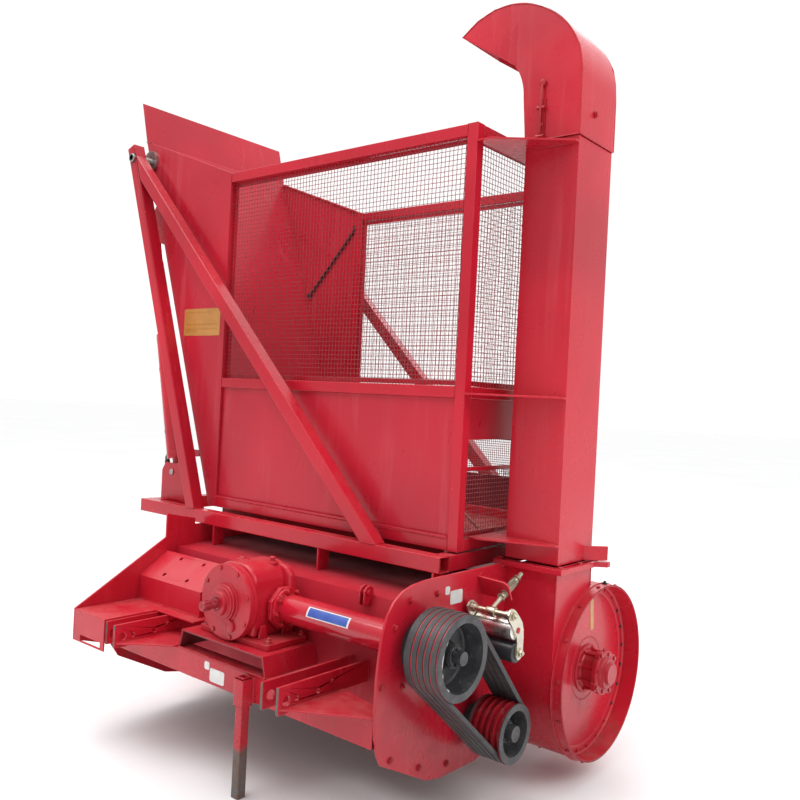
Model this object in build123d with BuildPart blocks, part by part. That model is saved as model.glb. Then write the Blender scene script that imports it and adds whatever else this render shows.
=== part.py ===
from build123d import *
import math
import os

os.makedirs("parts", exist_ok=True)

# A tractor-mounted straw chopper with a side-tipping mesh bin, in millimetres.
# Machine coordinates: x = 0 near the drive shaft's line, +x towards the fan;
# y = 0 near the cross shaft, -y towards the tractor; z = 0 on the ground.
# OX, OY move those coordinates so that the row's origin is under the middle.
OX, OY = 209.5, -493.5

# ---------------------------------------------------------------- dimensions
SHEET = 5.0                     # folded sheet
PLATE = 8.0                     # side plates
X_LEFT, X_RIGHT = -642.0, 671.0     # inner faces of the side plates
PULLEY_Y, PULLEY_Z = 8.0, 558.0     # cross shaft and large pulley
ROTOR_Y, ROTOR_Z = 313.0, 261.0     # chopping rotor and small pulley
FAN_Y, FAN_Z = 776.0, 366.0         # auger and blower
FAN_R = 300.0
PULLEY_X0, PULLEY_X1 = 722.0, 841.0
BIG_R, SMALL_R = 122.0, 91.5        # 4 : 3
GROOVES, PITCH = 5, 22.0
TUBE = 54.0                     # base frame and tipping frame
BIN_TUBE = 40.0
BIN_Y0, BIN_Y1 = 305.0, 1175.0
BIN_X0, BIN_X1 = -706.0, 590.0
BIN_Z0, BIN_ZMID, BIN_Z1 = 784.0, 1291.0, 2160.0   # undersides of the three rails
PIVOT_X, PIVOT_Z = -1275.0, 2330.0
BASE_Z = 724.0
DUCT = (670.0, 868.0, 479.0, 718.0)     # x0, x1, y0, y1
DUCT_Z0, DUCT_Z1 = 765.0, 2162.0
GEAR_X, GEAR_Z = -12.0, 577.0           # drive shaft's line
FOOT_X, FOOT_Z = -1000.0, 900.0         # cylinder's lower pin
EYE_X, EYE_Z = -1262.0, 2010.0          # cylinder's upper eye, closed
CYLINDER_Y = (350.0, 1130.0)
WHEEL_X, WHEEL_Y, WHEEL_R, WHEEL_W = 480.0, 1150.0, 160.0, 90.0
LEG_X, LEG_Y, LEG = 150.0, -193.0, 32.0
SHAFT_GAP = 0.06                        # running clearance, radial


# ------------------------------------------------------------------- planes
def front(y):
    """Sketch in (x, z), extruded towards -y."""
    return Plane(origin=(OX, OY + y, 0), x_dir=(1, 0, 0), z_dir=(0, -1, 0))


def side(x):
    """Sketch in (y, z), extruded towards +x."""
    return Plane(origin=(OX + x, OY, 0), x_dir=(0, 1, 0), z_dir=(1, 0, 0))


def level(z):
    """Sketch in (x, y), extruded towards +z."""
    return Plane(origin=(OX, OY, z), x_dir=(1, 0, 0), z_dir=(0, 0, 1))


# ------------------------------------------------------- shapes used often
def slab(plane, thickness, outline, mode=Mode.ADD):
    """A flat plate of any straight-sided outline."""
    with BuildSketch(plane) as profile:
        with BuildLine():
            Polyline(*outline, close=True)
        make_face()
    extrude(profile.sketch, amount=thickness, mode=mode)


def slab_y(y0, y1, outline, mode=Mode.ADD):
    slab(front(y1), y1 - y0, outline, mode)


def slab_x(x0, x1, outline, mode=Mode.ADD):
    slab(side(x0), x1 - x0, outline, mode)


def slab_z(z0, z1, outline, mode=Mode.ADD):
    slab(level(z0), z1 - z0, outline, mode)


def disc(plane, u, v, radius, length, bore=0.0, mode=Mode.ADD):
    """A round bar or ring standing on a plane."""
    with BuildSketch(plane) as profile:
        with Locations((u, v)):
            Circle(radius)
            if bore:
                Circle(bore, mode=Mode.SUBTRACT)
    extrude(profile.sketch, amount=length, mode=mode)


def corners(u0, u1, v0, v1):
    return [(u0, v0), (u1, v0), (u1, v1), (u0, v1)]


def tube(axis, a0, a1, u0, u1, v0, v1, wall=4.0):
    """A square tube along x, y or z, open at both ends."""
    place = {"x": side, "y": front, "z": level}[axis]
    plane = place(a1 if axis == "y" else a0)
    with BuildSketch(plane) as profile:
        with BuildLine():
            Polyline(*corners(u0, u1, v0, v1), close=True)
        make_face()
        if wall:
            with BuildLine():
                Polyline(*corners(u0 + wall, u1 - wall, v0 + wall, v1 - wall), close=True)
            make_face(mode=Mode.SUBTRACT)
    extrude(profile.sketch, amount=a1 - a0)


def offset_line(p, q, distance):
    """The line p-q moved sideways, to the left of its direction."""
    length = math.hypot(q[0] - p[0], q[1] - p[1])
    nx, ny = -(q[1] - p[1]) / length * distance, (q[0] - p[0]) / length * distance
    return (p[0] + nx, p[1] + ny), (q[0] + nx, q[1] + ny)


def finish(name, builder):
    builder.part.label = name
    export_step(builder.part, f"parts/{name}.step")


# ------------------------------------------------------------- side plates
left_outline = [(-323, 345), (-323, 459), (53, 683), (53, 776), (120, 762), (190, 748), (190, 724), (985, 724),
                (985, 330), (940, 230), (850, 160), (700, 150), (560, 185), (341, 120), (152, 124),
                (79, 139), (-136, 248), (-171, 300)]
right_outline = [(-136, 248), (-156, 283), (-168, 330), (-174, 420), (-173, 499), (-166, 560),
                 (-157, 615), (-139, 668), (-112, 704), (-75, 728), (-30, 741), (30, 747), (99, 748),
                 (448, 748), (448, 736), (985, 736), (985, 330), (940, 230), (850, 160), (700, 150),
                 (560, 185), (341, 120), (152, 124), (79, 139)]
with BuildPart() as side_plate_left:
    slab_x(X_LEFT - PLATE, X_LEFT, left_outline)
    disc(side(X_LEFT - PLATE), ROTOR_Y, ROTOR_Z, 32, PLATE, mode=Mode.SUBTRACT)
finish("side_plate_left", side_plate_left)

with BuildPart() as side_plate_right:
    slab_x(X_RIGHT, X_RIGHT + PLATE, right_outline)
    for y, z, radius in ((PULLEY_Y, PULLEY_Z, 30), (ROTOR_Y, ROTOR_Z, 32), (FAN_Y, FAN_Z, 150)):
        disc(side(X_RIGHT), y, z, radius, PLATE, mode=Mode.SUBTRACT)
finish("side_plate_right", side_plate_right)

# ------------------------------------------------------- hood and housing
with BuildPart() as hood:
    slab_x(X_LEFT, X_RIGHT, [(60, 240), (60, 452), (112, 640), (600, 668), (600, 662), (117, 634),
                             (66, 451), (66, 240)])
finish("hood", hood)

TROUGH_R = 206.0
with BuildPart() as auger_trough:
    with BuildSketch(side(X_LEFT)) as profile:
        with BuildLine():
            Polyline((600, 668), (900, 650), (FAN_Y + TROUGH_R, 560), (FAN_Y + TROUGH_R, FAN_Z))
            ThreePointArc((FAN_Y + TROUGH_R, FAN_Z), (FAN_Y, FAN_Z - TROUGH_R), (FAN_Y - TROUGH_R, FAN_Z))
            Polyline((FAN_Y - TROUGH_R, FAN_Z), (FAN_Y - TROUGH_R + 6, FAN_Z))
            ThreePointArc((FAN_Y - TROUGH_R + 6, FAN_Z), (FAN_Y, FAN_Z - TROUGH_R + 6),
                          (FAN_Y + TROUGH_R - 6, FAN_Z))
            Polyline((FAN_Y + TROUGH_R - 6, FAN_Z), (FAN_Y + TROUGH_R - 6, 563), (897, 644), (600, 662),
                     (600, 668))
        make_face()
    extrude(amount=X_RIGHT - X_LEFT)
finish("auger_trough", auger_trough)

SEAT_TILT = math.degrees(math.atan2(70, 104))
with BuildPart() as mast_seat:
    slab_x(X_LEFT, -262, [(-61, 458), (-61, 548), (60, 629.5), (60, 622.4), (-55, 545), (-55, 458)])
    slab_x(-268, -262, [(-61, 458), (-61, 548), (60, 629.5), (60, 458)])
    for x in (-520, -380):
        for y in (-34, 40):
            z = 548 + (y + 61) * 81.5 / 121
            hole_plane = Plane(origin=(OX + x, OY + y, z), x_dir=(1, 0, 0),
                               z_dir=(0, -math.sin(math.radians(SEAT_TILT)), math.cos(math.radians(SEAT_TILT))))
            with BuildSketch(hole_plane) as hole:
                Circle(8)
            extrude(hole.sketch, amount=20, both=True, mode=Mode.SUBTRACT)
finish("mast_seat", mast_seat)

with BuildPart() as hitch_wing:
    slab_z(452, 458, [(X_LEFT, -323), (-447, -323), (-447, -112), (-228, -112), (-228, 60), (X_LEFT, 60)])
    slab_y(-323, -317, corners(X_LEFT, -447, 345, 452))
    slab_y(-323, -317, corners(-600, -470, 351, 372), mode=Mode.SUBTRACT)
finish("hitch_wing", hitch_wing)

# ------------------------------------------------------ front beam and hitch
with BuildPart() as front_beam:
    tube("x", X_LEFT, X_RIGHT, -171, -111, 300, 385, wall=6)
    slab_z(290, 376, corners(LEG_X - 22, LEG_X + 22, -215, -171))
    slab_z(290, 376, corners(LEG_X - 17, LEG_X + 17, LEG_Y - 17, LEG_Y + 17), mode=Mode.SUBTRACT)
finish("front_beam", front_beam)

HITCH_PIN = (-291.0, 408.0)
for name, x_inner, x_outer, pin_r, gusset in (
        ("hitch_bracket_left", (-447, -437), (-388, -378), 14.5, [(-378, -316), (-228, -188), (-228, -112), (-378, -60)]),
        ("hitch_bracket_right", (374, 384), (440, 450), 15.0, [(450, -316), (X_RIGHT, -172), (X_RIGHT, -112), (450, -60)])):
    with BuildPart() as hitch_bracket:
        for x0, x1 in (x_inner, x_outer):
            slab_x(x0, x1, [(-317 if x0 < -440 else -323, 372), (-317 if x0 < -440 else -323, 452),
                            (58, 452), (58, 385), (-171, 385), (-171, 372)])
        slab_z(385, 391, gusset)
        disc(side(x_inner[0]), *HITCH_PIN, pin_r, x_outer[1] - x_inner[0], mode=Mode.SUBTRACT)
        for y in (-251, -164):
            disc(side(x_outer[0]), y, 407, 8, 10, mode=Mode.SUBTRACT)
    finish(name, hitch_bracket)

with BuildPart() as gearbox_seat:
    slab_y(-171, 58, [(-225, 385), (-208, 450), (208, 450), (225, 385), (217, 385), (201, 443),
                      (-201, 443), (-217, 385)])
finish("gearbox_seat", gearbox_seat)

# ----------------------------------------------------------------- gearbox
PTO_R = 17.4
with BuildPart() as gearbox:
    slab_y(-128, 50, [(-130, 470), (-130, 640), (-104, 684), (-62, 704), (10, 705), (60, 692), (88, 660), (88, 470)])
    slab_y(24, 50, [(40, 470), (40, 698), (96, 688), (116, 664), (116, 470)])
    slab_y(-128, 50, corners(-170, 180, 450, 470))
    disc(side(80), PULLEY_Y, PULLEY_Z, 62, 21)
    disc(side(101), PULLEY_Y, PULLEY_Z, 72, 15)
finish("gearbox", gearbox)

with BuildPart() as gearbox_cover:
    disc(front(-128), GEAR_X, GEAR_Z, 126, 22, bore=PTO_R + 3 + SHAFT_GAP)
    disc(front(-150), GEAR_X, GEAR_Z, 60, 14, bore=PTO_R + 3 + SHAFT_GAP)
    disc(front(-164), GEAR_X, GEAR_Z, 40, 24, bore=PTO_R + 3 + SHAFT_GAP)
finish("gearbox_cover", gearbox_cover)

with BuildPart() as pto_shaft:
    disc(front(-130), GEAR_X, GEAR_Z, PTO_R + 3, 60)
    disc(front(-190), GEAR_X, GEAR_Z, PTO_R - 3, 62)
    disc(front(-196), GEAR_X, GEAR_Z, PTO_R, 50)
finish("pto_shaft", pto_shaft)

SHAFT_R = 20.0
with BuildPart() as cross_tube:
    disc(side(116), PULLEY_Y, PULLEY_Z, 68, 12, bore=40)
    disc(side(128), PULLEY_Y, PULLEY_Z, 48, X_RIGHT - 128, bore=40)
    disc(side(640), PULLEY_Y, PULLEY_Z, 44, X_RIGHT - 640, bore=SHAFT_R + SHAFT_GAP)
finish("cross_tube", cross_tube)


# ------------------------------------------------------ pulleys, belts, rotor
def pulley(radius, z_axis, y_axis, recess, hub, shaft, shaft_x0):
    """A grooved pulley with a dished face, turned about its shaft."""
    groove_depth, top, bottom = 16.0, 9.0, 6.5
    outline = [(PULLEY_X0, 0), (PULLEY_X0, radius)]
    first = (PULLEY_X0 + PULLEY_X1 - (GROOVES - 1) * PITCH) / 2
    for i in range(GROOVES):
        x = first + i * PITCH
        outline += [(x - top, radius), (x - bottom, radius - groove_depth),
                    (x + bottom, radius - groove_depth), (x + top, radius)]
    outline += [(PULLEY_X1, radius), (PULLEY_X1, recess), (PULLEY_X1 - 62, recess - 6),
                (PULLEY_X1 - 62, hub), (PULLEY_X1 - 30, hub), (PULLEY_X1 - 30, shaft),
                (PULLEY_X1 + 2, shaft), (PULLEY_X1 + 2, 0)]
    # the turned outline lies in the plane y = y_axis, measured from the axis
    with BuildSketch(Plane(origin=(OX, OY + y_axis, z_axis), x_dir=(1, 0, 0), z_dir=(0, -1, 0))) as profile:
        with BuildLine():
            Polyline(*outline, close=True)
        make_face()
    revolve(profile.sketch, axis=Axis((OX, OY + y_axis, z_axis), (1, 0, 0)))
    if shaft_x0 is not None:
        disc(side(shaft_x0), y_axis, z_axis, shaft, PULLEY_X0 - shaft_x0)


with BuildPart() as drive_pulley:
    pulley(BIG_R, PULLEY_Z, PULLEY_Y, 99, 34, SHAFT_R, 600)
finish("drive_pulley", drive_pulley)

with BuildPart() as rotor_pulley:
    pulley(SMALL_R, ROTOR_Z, ROTOR_Y, 70, 34, 25, None)
finish("rotor_pulley", rotor_pulley)

DRUM_R, SWING_R = 60.0, 226.0
with BuildPart() as rotor_drum:
    disc(side(-605), ROTOR_Y, ROTOR_Z, DRUM_R, 1240)
    disc(side(-695), ROTOR_Y, ROTOR_Z, 25, PULLEY_X0 + 695)
finish("rotor_drum", rotor_drum)

# columns: angle about the rotor, x of the four flails in that row
flail_rows = [(38, (-540, -260, 20, 300)), (128, (-470, -190, 90, 370)),
              (218, (-598, -370, -60, 440)), (308, (-330, -50, 230, 510))]
with BuildPart() as flails:
    for angle, places in flail_rows:
        a = math.radians(angle)
        for x in places:
            # a hinged claw 90 mm wide, its cutting edge bent forward
            arm = Plane(origin=(OX + x, OY + ROTOR_Y, ROTOR_Z), x_dir=(0, math.cos(a), math.sin(a)),
                        z_dir=(1, 0, 0))
            with BuildSketch(arm) as profile:
                with BuildLine():
                    Polyline((DRUM_R - 1.5, -12), (150, -9), (SWING_R - 12, -22), (SWING_R - 3, -14),
                             (160, 6), (DRUM_R - 1.5, 12), close=True)
                make_face()
            extrude(profile.sketch, amount=90)
    disc(side(-605), ROTOR_Y, ROTOR_Z, DRUM_R, 1240, mode=Mode.SUBTRACT)
finish("flails", flails)


def belt_loop(plane, extra):
    """The area round both pulleys at a radius larger by extra than the rims."""
    r1, r2 = BIG_R + extra, SMALL_R + extra
    dy, dz = ROTOR_Y - PULLEY_Y, ROTOR_Z - PULLEY_Z
    distance, heading = math.hypot(dy, dz), math.atan2(dz, dy)
    lean = math.acos((r1 - r2) / distance)

    def at(cy, cz, r, angle):
        return (cy + r * math.cos(angle), cz + r * math.sin(angle))
    a, b = heading + lean, heading - lean
    with BuildSketch(plane) as loop:
        with BuildLine():
            Line(at(PULLEY_Y, PULLEY_Z, r1, a), at(ROTOR_Y, ROTOR_Z, r2, a))
            ThreePointArc(at(ROTOR_Y, ROTOR_Z, r2, a), at(ROTOR_Y, ROTOR_Z, r2, heading), at(ROTOR_Y, ROTOR_Z, r2, b))
            Line(at(ROTOR_Y, ROTOR_Z, r2, b), at(PULLEY_Y, PULLEY_Z, r1, b))
            ThreePointArc(at(PULLEY_Y, PULLEY_Z, r1, b), at(PULLEY_Y, PULLEY_Z, r1, heading + math.pi),
                          at(PULLEY_Y, PULLEY_Z, r1, a))
        make_face()
    return loop.sketch


with BuildPart() as drive_belts:
    first = (PULLEY_X0 + PULLEY_X1 - (GROOVES - 1) * PITCH) / 2
    for i in range(GROOVES):
        extrude(belt_loop(side(first + i * PITCH - 5.5), 1.0), amount=11)
    extrude(belt_loop(side(PULLEY_X0), -14.0), amount=PULLEY_X1 - PULLEY_X0, mode=Mode.SUBTRACT)
finish("drive_belts", drive_belts)

with BuildPart() as bearings:
    for x, length, y, z, radius, bore in ((X_RIGHT + PLATE, 26, PULLEY_Y, PULLEY_Z, 80, SHAFT_R + SHAFT_GAP),
                                          (X_RIGHT + PLATE, 26, ROTOR_Y, ROTOR_Z, 55, 25 + SHAFT_GAP),
                                          (X_LEFT, 26, ROTOR_Y, ROTOR_Z, 55, 25 + SHAFT_GAP)):
        disc(side(x), y, z, radius, length, bore=bore)
finish("bearings", bearings)

# belt tensioner: a bracket on the plate, a sprung rod and two rollers
ROLLER_X0, ROLLER_X1 = 706.0, 846.0
tie, steel, black = (243.0, 640.0), (280.0, 590.0), (292.0, 520.0)
rod_angle = math.atan2(92, 177)
sprung_rod = Plane(origin=(OX + 770, OY + tie[0], tie[1]), x_dir=(1, 0, 0),
                   z_dir=(0, math.cos(rod_angle), math.sin(rod_angle)))
with BuildPart() as tensioner_bracket:
    # a plate square to the rod, folded where it meets the side plate
    square = Plane(origin=(OX + 770, OY + tie[0] + 92 * math.cos(rod_angle), tie[1] + 92 * math.sin(rod_angle)),
                   x_dir=(1, 0, 0), z_dir=(0, math.cos(rod_angle), math.sin(rod_angle)))
    slab(square, 6, [(X_RIGHT + PLATE - 770, -46), (6, -40), (20, -28), (20, 24), (X_RIGHT + PLATE - 770, 24)])
    slab(square, 26, corners(X_RIGHT + PLATE - 770, -86, -46, 24))
    disc(square, 0, 0, 9, 6, mode=Mode.SUBTRACT)
finish("tensioner_bracket", tensioner_bracket)

with BuildPart() as tensioner_rollers:
    disc(side(ROLLER_X0), tie[0], tie[1], 11, ROLLER_X1 - ROLLER_X0)
    disc(side(ROLLER_X0), steel[0], steel[1], 31, ROLLER_X1 - ROLLER_X0)
    disc(side(ROLLER_X0), black[0], black[1], 34, ROLLER_X1 - ROLLER_X0)
    disc(sprung_rod, 0, 0, 7, 200)
    for x in (ROLLER_X0 - 8, ROLLER_X1):
        slab_x(x, x + 8, [(222, 645), (240, 663), (262, 655), (303, 612), (316, 560), (314, 510), (302, 498),
                          (286, 498), (276, 510), (280, 560), (262, 590), (232, 618)])
    disc(side(X_RIGHT + PLATE), steel[0], steel[1], 14, ROLLER_X0 - 8 - X_RIGHT - PLATE)
finish("tensioner_rollers", tensioner_rollers)

def guard_area(plane, r):
    """The area within r of the line from the rotor to the auger."""
    dy, dz = FAN_Y - ROTOR_Y, FAN_Z - ROTOR_Z
    heading = math.atan2(dz, dy)

    def at(cy, cz, angle):
        return (cy + r * math.cos(angle), cz + r * math.sin(angle))
    up, down = heading + math.pi / 2, heading - math.pi / 2
    with BuildSketch(plane) as area:
        with BuildLine():
            Line(at(ROTOR_Y, ROTOR_Z, down), at(FAN_Y, FAN_Z, down))
            ThreePointArc(at(FAN_Y, FAN_Z, down), at(FAN_Y, FAN_Z, heading), at(FAN_Y, FAN_Z, up))
            Line(at(FAN_Y, FAN_Z, up), at(ROTOR_Y, ROTOR_Z, up))
            ThreePointArc(at(ROTOR_Y, ROTOR_Z, up), at(ROTOR_Y, ROTOR_Z, heading + math.pi),
                          at(ROTOR_Y, ROTOR_Z, down))
        make_face()
    return area.sketch


with BuildPart() as drive_guard:
    extrude(guard_area(side(X_LEFT - PLATE - 66), 120), amount=66)
    extrude(guard_area(side(X_LEFT - PLATE - 63), 117), amount=63, mode=Mode.SUBTRACT)
finish("drive_guard", drive_guard)

# ------------------------------------------------------------ fan and outlet
FAN_X0, FAN_X1 = X_RIGHT + PLATE, 907.0
FAN_FACE = 840.0                        # the cover sits back inside the rim
with BuildPart() as fan_casing:
    disc(side(FAN_X0), FAN_Y, FAN_Z, FAN_R, FAN_X1 - FAN_X0)
    disc(side(867), FAN_Y, FAN_Z, FAN_R + 4, 6)
    slab_x(FAN_X0, DUCT[1], corners(DUCT[2] - 3, DUCT[3], FAN_Z, 741))
    disc(side(FAN_X0), FAN_Y, FAN_Z, FAN_R - 5, FAN_X1 - FAN_X0, mode=Mode.SUBTRACT)
    slab_x(FAN_X0, DUCT[1] - 5, corners(DUCT[2] + 3, DUCT[3] - 5, FAN_Z, 741), mode=Mode.SUBTRACT)
finish("fan_casing", fan_casing)

with BuildPart() as fan_cover:
    disc(side(FAN_FACE - 6), FAN_Y, FAN_Z, FAN_R - 5, 6)
    disc(side(FAN_FACE), FAN_Y, FAN_Z, 60, 56)
    disc(side(FAN_FACE + 56), FAN_Y, FAN_Z, 74, 18)
    disc(side(FAN_FACE + 74), FAN_Y, FAN_Z, 50, 14)
    disc(side(FAN_FACE + 88), FAN_Y, FAN_Z, 36, 12)
finish("fan_cover", fan_cover)

with BuildPart() as outlet_collar:
    slab_z(741, 759, corners(640, 898, 450, 738))
    slab_z(741, 759, [(896, 690), (930, 718), (930, 738), (896, 738)])
    slab_z(741, 759, corners(DUCT[0] + 9, DUCT[1] - 5, DUCT[2] + 3, DUCT[3] - 5), mode=Mode.SUBTRACT)
    slab_z(751, 759, corners(652, 886, 462, 726), mode=Mode.SUBTRACT)
    slab_z(751, 759, corners(DUCT[0], DUCT[1], DUCT[2] - 3, DUCT[3]))
    slab_z(751, 759, corners(DUCT[0] + 9, DUCT[1] - 5, DUCT[2] + 3, DUCT[3] - 5), mode=Mode.SUBTRACT)
finish("outlet_collar", outlet_collar)

# --------------------------------------------------- base and tipping frames
FRAME_Y = ((216.0, 270.0), (1210.0, 1264.0))      # front and rear
with BuildPart() as base_beams:
    for y0, y1 in FRAME_Y:
        tube("x", -1074, BIN_X1, y0, y1, BASE_Z, BASE_Z + TUBE)
finish("base_beams", base_beams)

with BuildPart() as base_members:
    for x0 in (-1074, 536):
        tube("y", FRAME_Y[0][1], FRAME_Y[1][0], x0, x0 + TUBE, BASE_Z, BASE_Z + TUBE)
finish("base_members", base_members)

def hood_top(y):
    return 640 + (y - 112) * 28 / 488


with BuildPart() as frame_supports:
    for x in (-560, 40, 560):
        slab_x(x, x + 8, [(216, hood_top(216)), (270, hood_top(270)), (270, 724), (216, 724)])
    for x in (-560, 40, 560):
        slab_x(x, x + 8, [(900, 650), (982, 560), (1240, 724), (1212, 724), (1210, 724), (985, 724)])
finish("frame_supports", frame_supports)

STEEP = ((-721.0, BASE_Z + TUBE), (-1300.0, 2387.0))
BRACE = ((278.0, BASE_Z + TUBE), (-1262.0, 2310.0))
steep_dx = (STEEP[1][0] - STEEP[0][0]) / (STEEP[1][1] - STEEP[0][1])


def steep_x(z, shift):
    """x on the steep post's side, shift mm from its centre line, measured along x."""
    return STEEP[0][0] + steep_dx * (z - STEEP[0][1]) + shift


with BuildPart() as tip_posts:
    half = TUBE / 2 / math.cos(math.atan(steep_dx))
    for y0, y1 in FRAME_Y:
        z0, z1 = BASE_Z + TUBE, 2387.0
        slab_y(y0, y1, [(steep_x(z0, -half), z0), (steep_x(z0, half), z0), (steep_x(z1 + 8, half), z1 + 8),
                        (steep_x(z1 - 10, -half), z1 - 10)])
        slab_y(y0 + 4, y1 - 4, [(steep_x(z0, 4 - half), z0), (steep_x(z0, half - 4), z0),
                                (steep_x(2240, half - 4), 2240), (steep_x(2240, 4 - half), 2240)],
               mode=Mode.SUBTRACT)
    disc(front(FRAME_Y[1][1]), PIVOT_X, PIVOT_Z, 20 + SHAFT_GAP, FRAME_Y[1][1] - FRAME_Y[0][0], mode=Mode.SUBTRACT)
finish("tip_posts", tip_posts)

with BuildPart() as tip_braces:
    z0, z_top = BASE_Z + TUBE, 2260.0
    run = (BRACE[0][0] - (-1262.0)) / (2310.0 - z0)          # x per z, leaning left
    across = TUBE / 2 / math.sin(math.atan2(1, run))

    def brace_x(z, shift):
        return BRACE[0][0] - run * (z - z0) + shift
    # the top is cut to the steep post's right side

    def meet(shift):
        z = (BRACE[0][0] + shift + run * z0 - STEEP[0][0] + steep_dx * STEEP[0][1] - half) / (run + steep_dx)
        return (steep_x(z, half), z)
    for y0, y1 in FRAME_Y:
        slab_y(y0, y1, [(brace_x(z0, -across), z0), (brace_x(z0, across), z0), meet(across), meet(-across)])
        inner = across - 4 / math.sin(math.atan2(1, run))
        slab_y(y0 + 4, y1 - 4, [(brace_x(z0, -inner), z0), (brace_x(z0, inner), z0),
                                (brace_x(2150, inner), 2150), (brace_x(2150, -inner), 2150)],
               mode=Mode.SUBTRACT)
finish("tip_braces", tip_braces)

# ------------------------------------------------------------- leg and wheels
with BuildPart() as parking_leg:
    slab_z(0, 382, corners(LEG_X - LEG / 2, LEG_X + LEG / 2, LEG_Y - LEG / 2, LEG_Y + LEG / 2))
    slab_z(6, 382, corners(LEG_X - LEG / 2 + 4, LEG_X + LEG / 2 - 4, LEG_Y - LEG / 2 + 4, LEG_Y + LEG / 2 - 4),
           mode=Mode.SUBTRACT)
finish("parking_leg", parking_leg)

with BuildPart() as wheel_brackets:
    for centre in (-WHEEL_X, WHEEL_X):
        for x in (centre - WHEEL_W / 2 - 16, centre + WHEEL_W / 2 + 8):
            slab_x(x, x + 8, [(982, 558), (982, 330), (1122, 140), (1172, 132), (1182, 176), (1040, 558)])
        disc(side(centre - WHEEL_W / 2 - 16), WHEEL_Y, WHEEL_R, 12, WHEEL_W + 32)
finish("wheel_brackets", wheel_brackets)

for name, centre in (("left", -WHEEL_X), ("right", WHEEL_X)):
    with BuildPart() as rim:
        disc(side(centre - 38), WHEEL_Y, WHEEL_R, 90, 76)
        for x in (centre - 38, centre + 10):
            disc(side(x), WHEEL_Y, WHEEL_R, 80, 28, mode=Mode.SUBTRACT)
        disc(side(centre - 48), WHEEL_Y, WHEEL_R, 26, 96)
        disc(side(centre - 48), WHEEL_Y, WHEEL_R, 12 + SHAFT_GAP, 96, mode=Mode.SUBTRACT)
    finish(f"wheel_rim_{name}", rim)
    with BuildPart() as tyre:
        disc(side(centre - WHEEL_W / 2), WHEEL_Y, WHEEL_R, WHEEL_R, WHEEL_W, bore=90)
        fillet(tyre.edges().filter_by(GeomType.CIRCLE).group_by(SortBy.RADIUS)[-1], 18)
    finish(f"tyre_{name}", tyre)

# ----------------------------------------------------------------------- bin
x_in, y_in0, y_in1 = BIN_X1 - BIN_TUBE, BIN_Y0 + BIN_TUBE, BIN_Y1 - BIN_TUBE
rail_heights = (BIN_Z0, BIN_ZMID, BIN_Z1)
with BuildPart() as bin_posts:
    for x0 in (BIN_X0, x_in):
        for y0 in (BIN_Y0 + (4 if x0 == BIN_X0 else 0), y_in1 - (4 if x0 == BIN_X0 else 0)):
            tube("z", BIN_Z0, BIN_Z1 + BIN_TUBE, x0, x0 + BIN_TUBE, y0, y0 + BIN_TUBE, wall=3)
finish("bin_posts", bin_posts)

with BuildPart() as bin_rails:
    for z in rail_heights:
        for y0 in (BIN_Y0, y_in1):
            tube("x", BIN_X0 + BIN_TUBE, x_in, y0, y0 + BIN_TUBE, z, z + BIN_TUBE, wall=3)
finish("bin_rails", bin_rails)

with BuildPart() as bin_side_rails:
    for z in rail_heights:
        tube("y", y_in0, y_in1, x_in, BIN_X1, z, z + BIN_TUBE, wall=3)
finish("bin_side_rails", bin_side_rails)

z_low, z_high = BIN_Z0 + BIN_TUBE, BIN_ZMID
with BuildPart() as bin_front_panel:
    slab_y(BIN_Y0 + 12, BIN_Y0 + 16, corners(BIN_X0 + BIN_TUBE, x_in, z_low, z_high))
finish("bin_front_panel", bin_front_panel)

with BuildPart() as bin_back_panel:
    slab_y(BIN_Y1 - 16, BIN_Y1 - 12, corners(BIN_X0 + BIN_TUBE, x_in, z_low, z_high))
    slab_y(BIN_Y1 - 16, BIN_Y1 - 12, corners(0, 260, 967, 1124), mode=Mode.SUBTRACT)
finish("bin_back_panel", bin_back_panel)

with BuildPart() as bin_right_panel:
    slab_x(BIN_X1 - 18, BIN_X1 - 14, corners(y_in0, y_in1, 1154, z_high))
finish("bin_right_panel", bin_right_panel)

with BuildPart() as bin_floor:
    slab_z(BIN_Z0, BIN_Z0 + 4, corners(BIN_X0 + BIN_TUBE, x_in, y_in0, y_in1))
    slab_y(y_in0, y_in0 + 4, corners(BIN_X0 + BIN_TUBE, x_in - 40, BIN_Z0 - 26, BIN_Z0))
finish("bin_floor", bin_floor)

WALL_FOOT, WALL_TIP, FLAP_TIP = (-712.0, BIN_Z0), (-1310.0, 2437.0), (-1361.0, 2624.0)
with BuildPart() as bin_left_wall:
    a, b = offset_line(WALL_FOOT, WALL_TIP, -4)
    slab_y(BIN_Y0 + 4, BIN_Y1 - 4, [WALL_FOOT, WALL_TIP, b, (a[0] + 1.4, BIN_Z0)])
    slab_z(BIN_Z0, BIN_Z0 + 4, corners(-709, -666, y_in0 + 4, y_in1 - 4))
finish("bin_left_wall", bin_left_wall)

with BuildPart() as bin_flap:
    a, b = offset_line(WALL_TIP, FLAP_TIP, -4)
    below = offset_line(WALL_FOOT, WALL_TIP, -4)[1]
    slab_y(BIN_Y0, BIN_Y1, [WALL_TIP, FLAP_TIP, b, below])
finish("bin_flap", bin_flap)

with BuildPart() as bin_gussets:
    for y0 in (BIN_Y0, BIN_Y1 - 4):
        slab_y(y0, y0 + 4, [(-712, BIN_Z0), (-1310, 2437), (-666, 2200), (-666, BIN_Z0)])
finish("bin_gussets", bin_gussets)

with BuildPart() as bin_mesh:
    for y0 in (BIN_Y0 + 18, BIN_Y1 - 22):
        slab_y(y0, y0 + 4, corners(BIN_X0 + BIN_TUBE, x_in, z_high + BIN_TUBE, BIN_Z1))
    for z0, z1 in ((z_high + BIN_TUBE, BIN_Z1), (z_low, 1047)):
        slab_x(BIN_X1 - 18, BIN_X1 - 14, corners(y_in0, y_in1, z0, z1))
finish("bin_mesh", bin_mesh)

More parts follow.
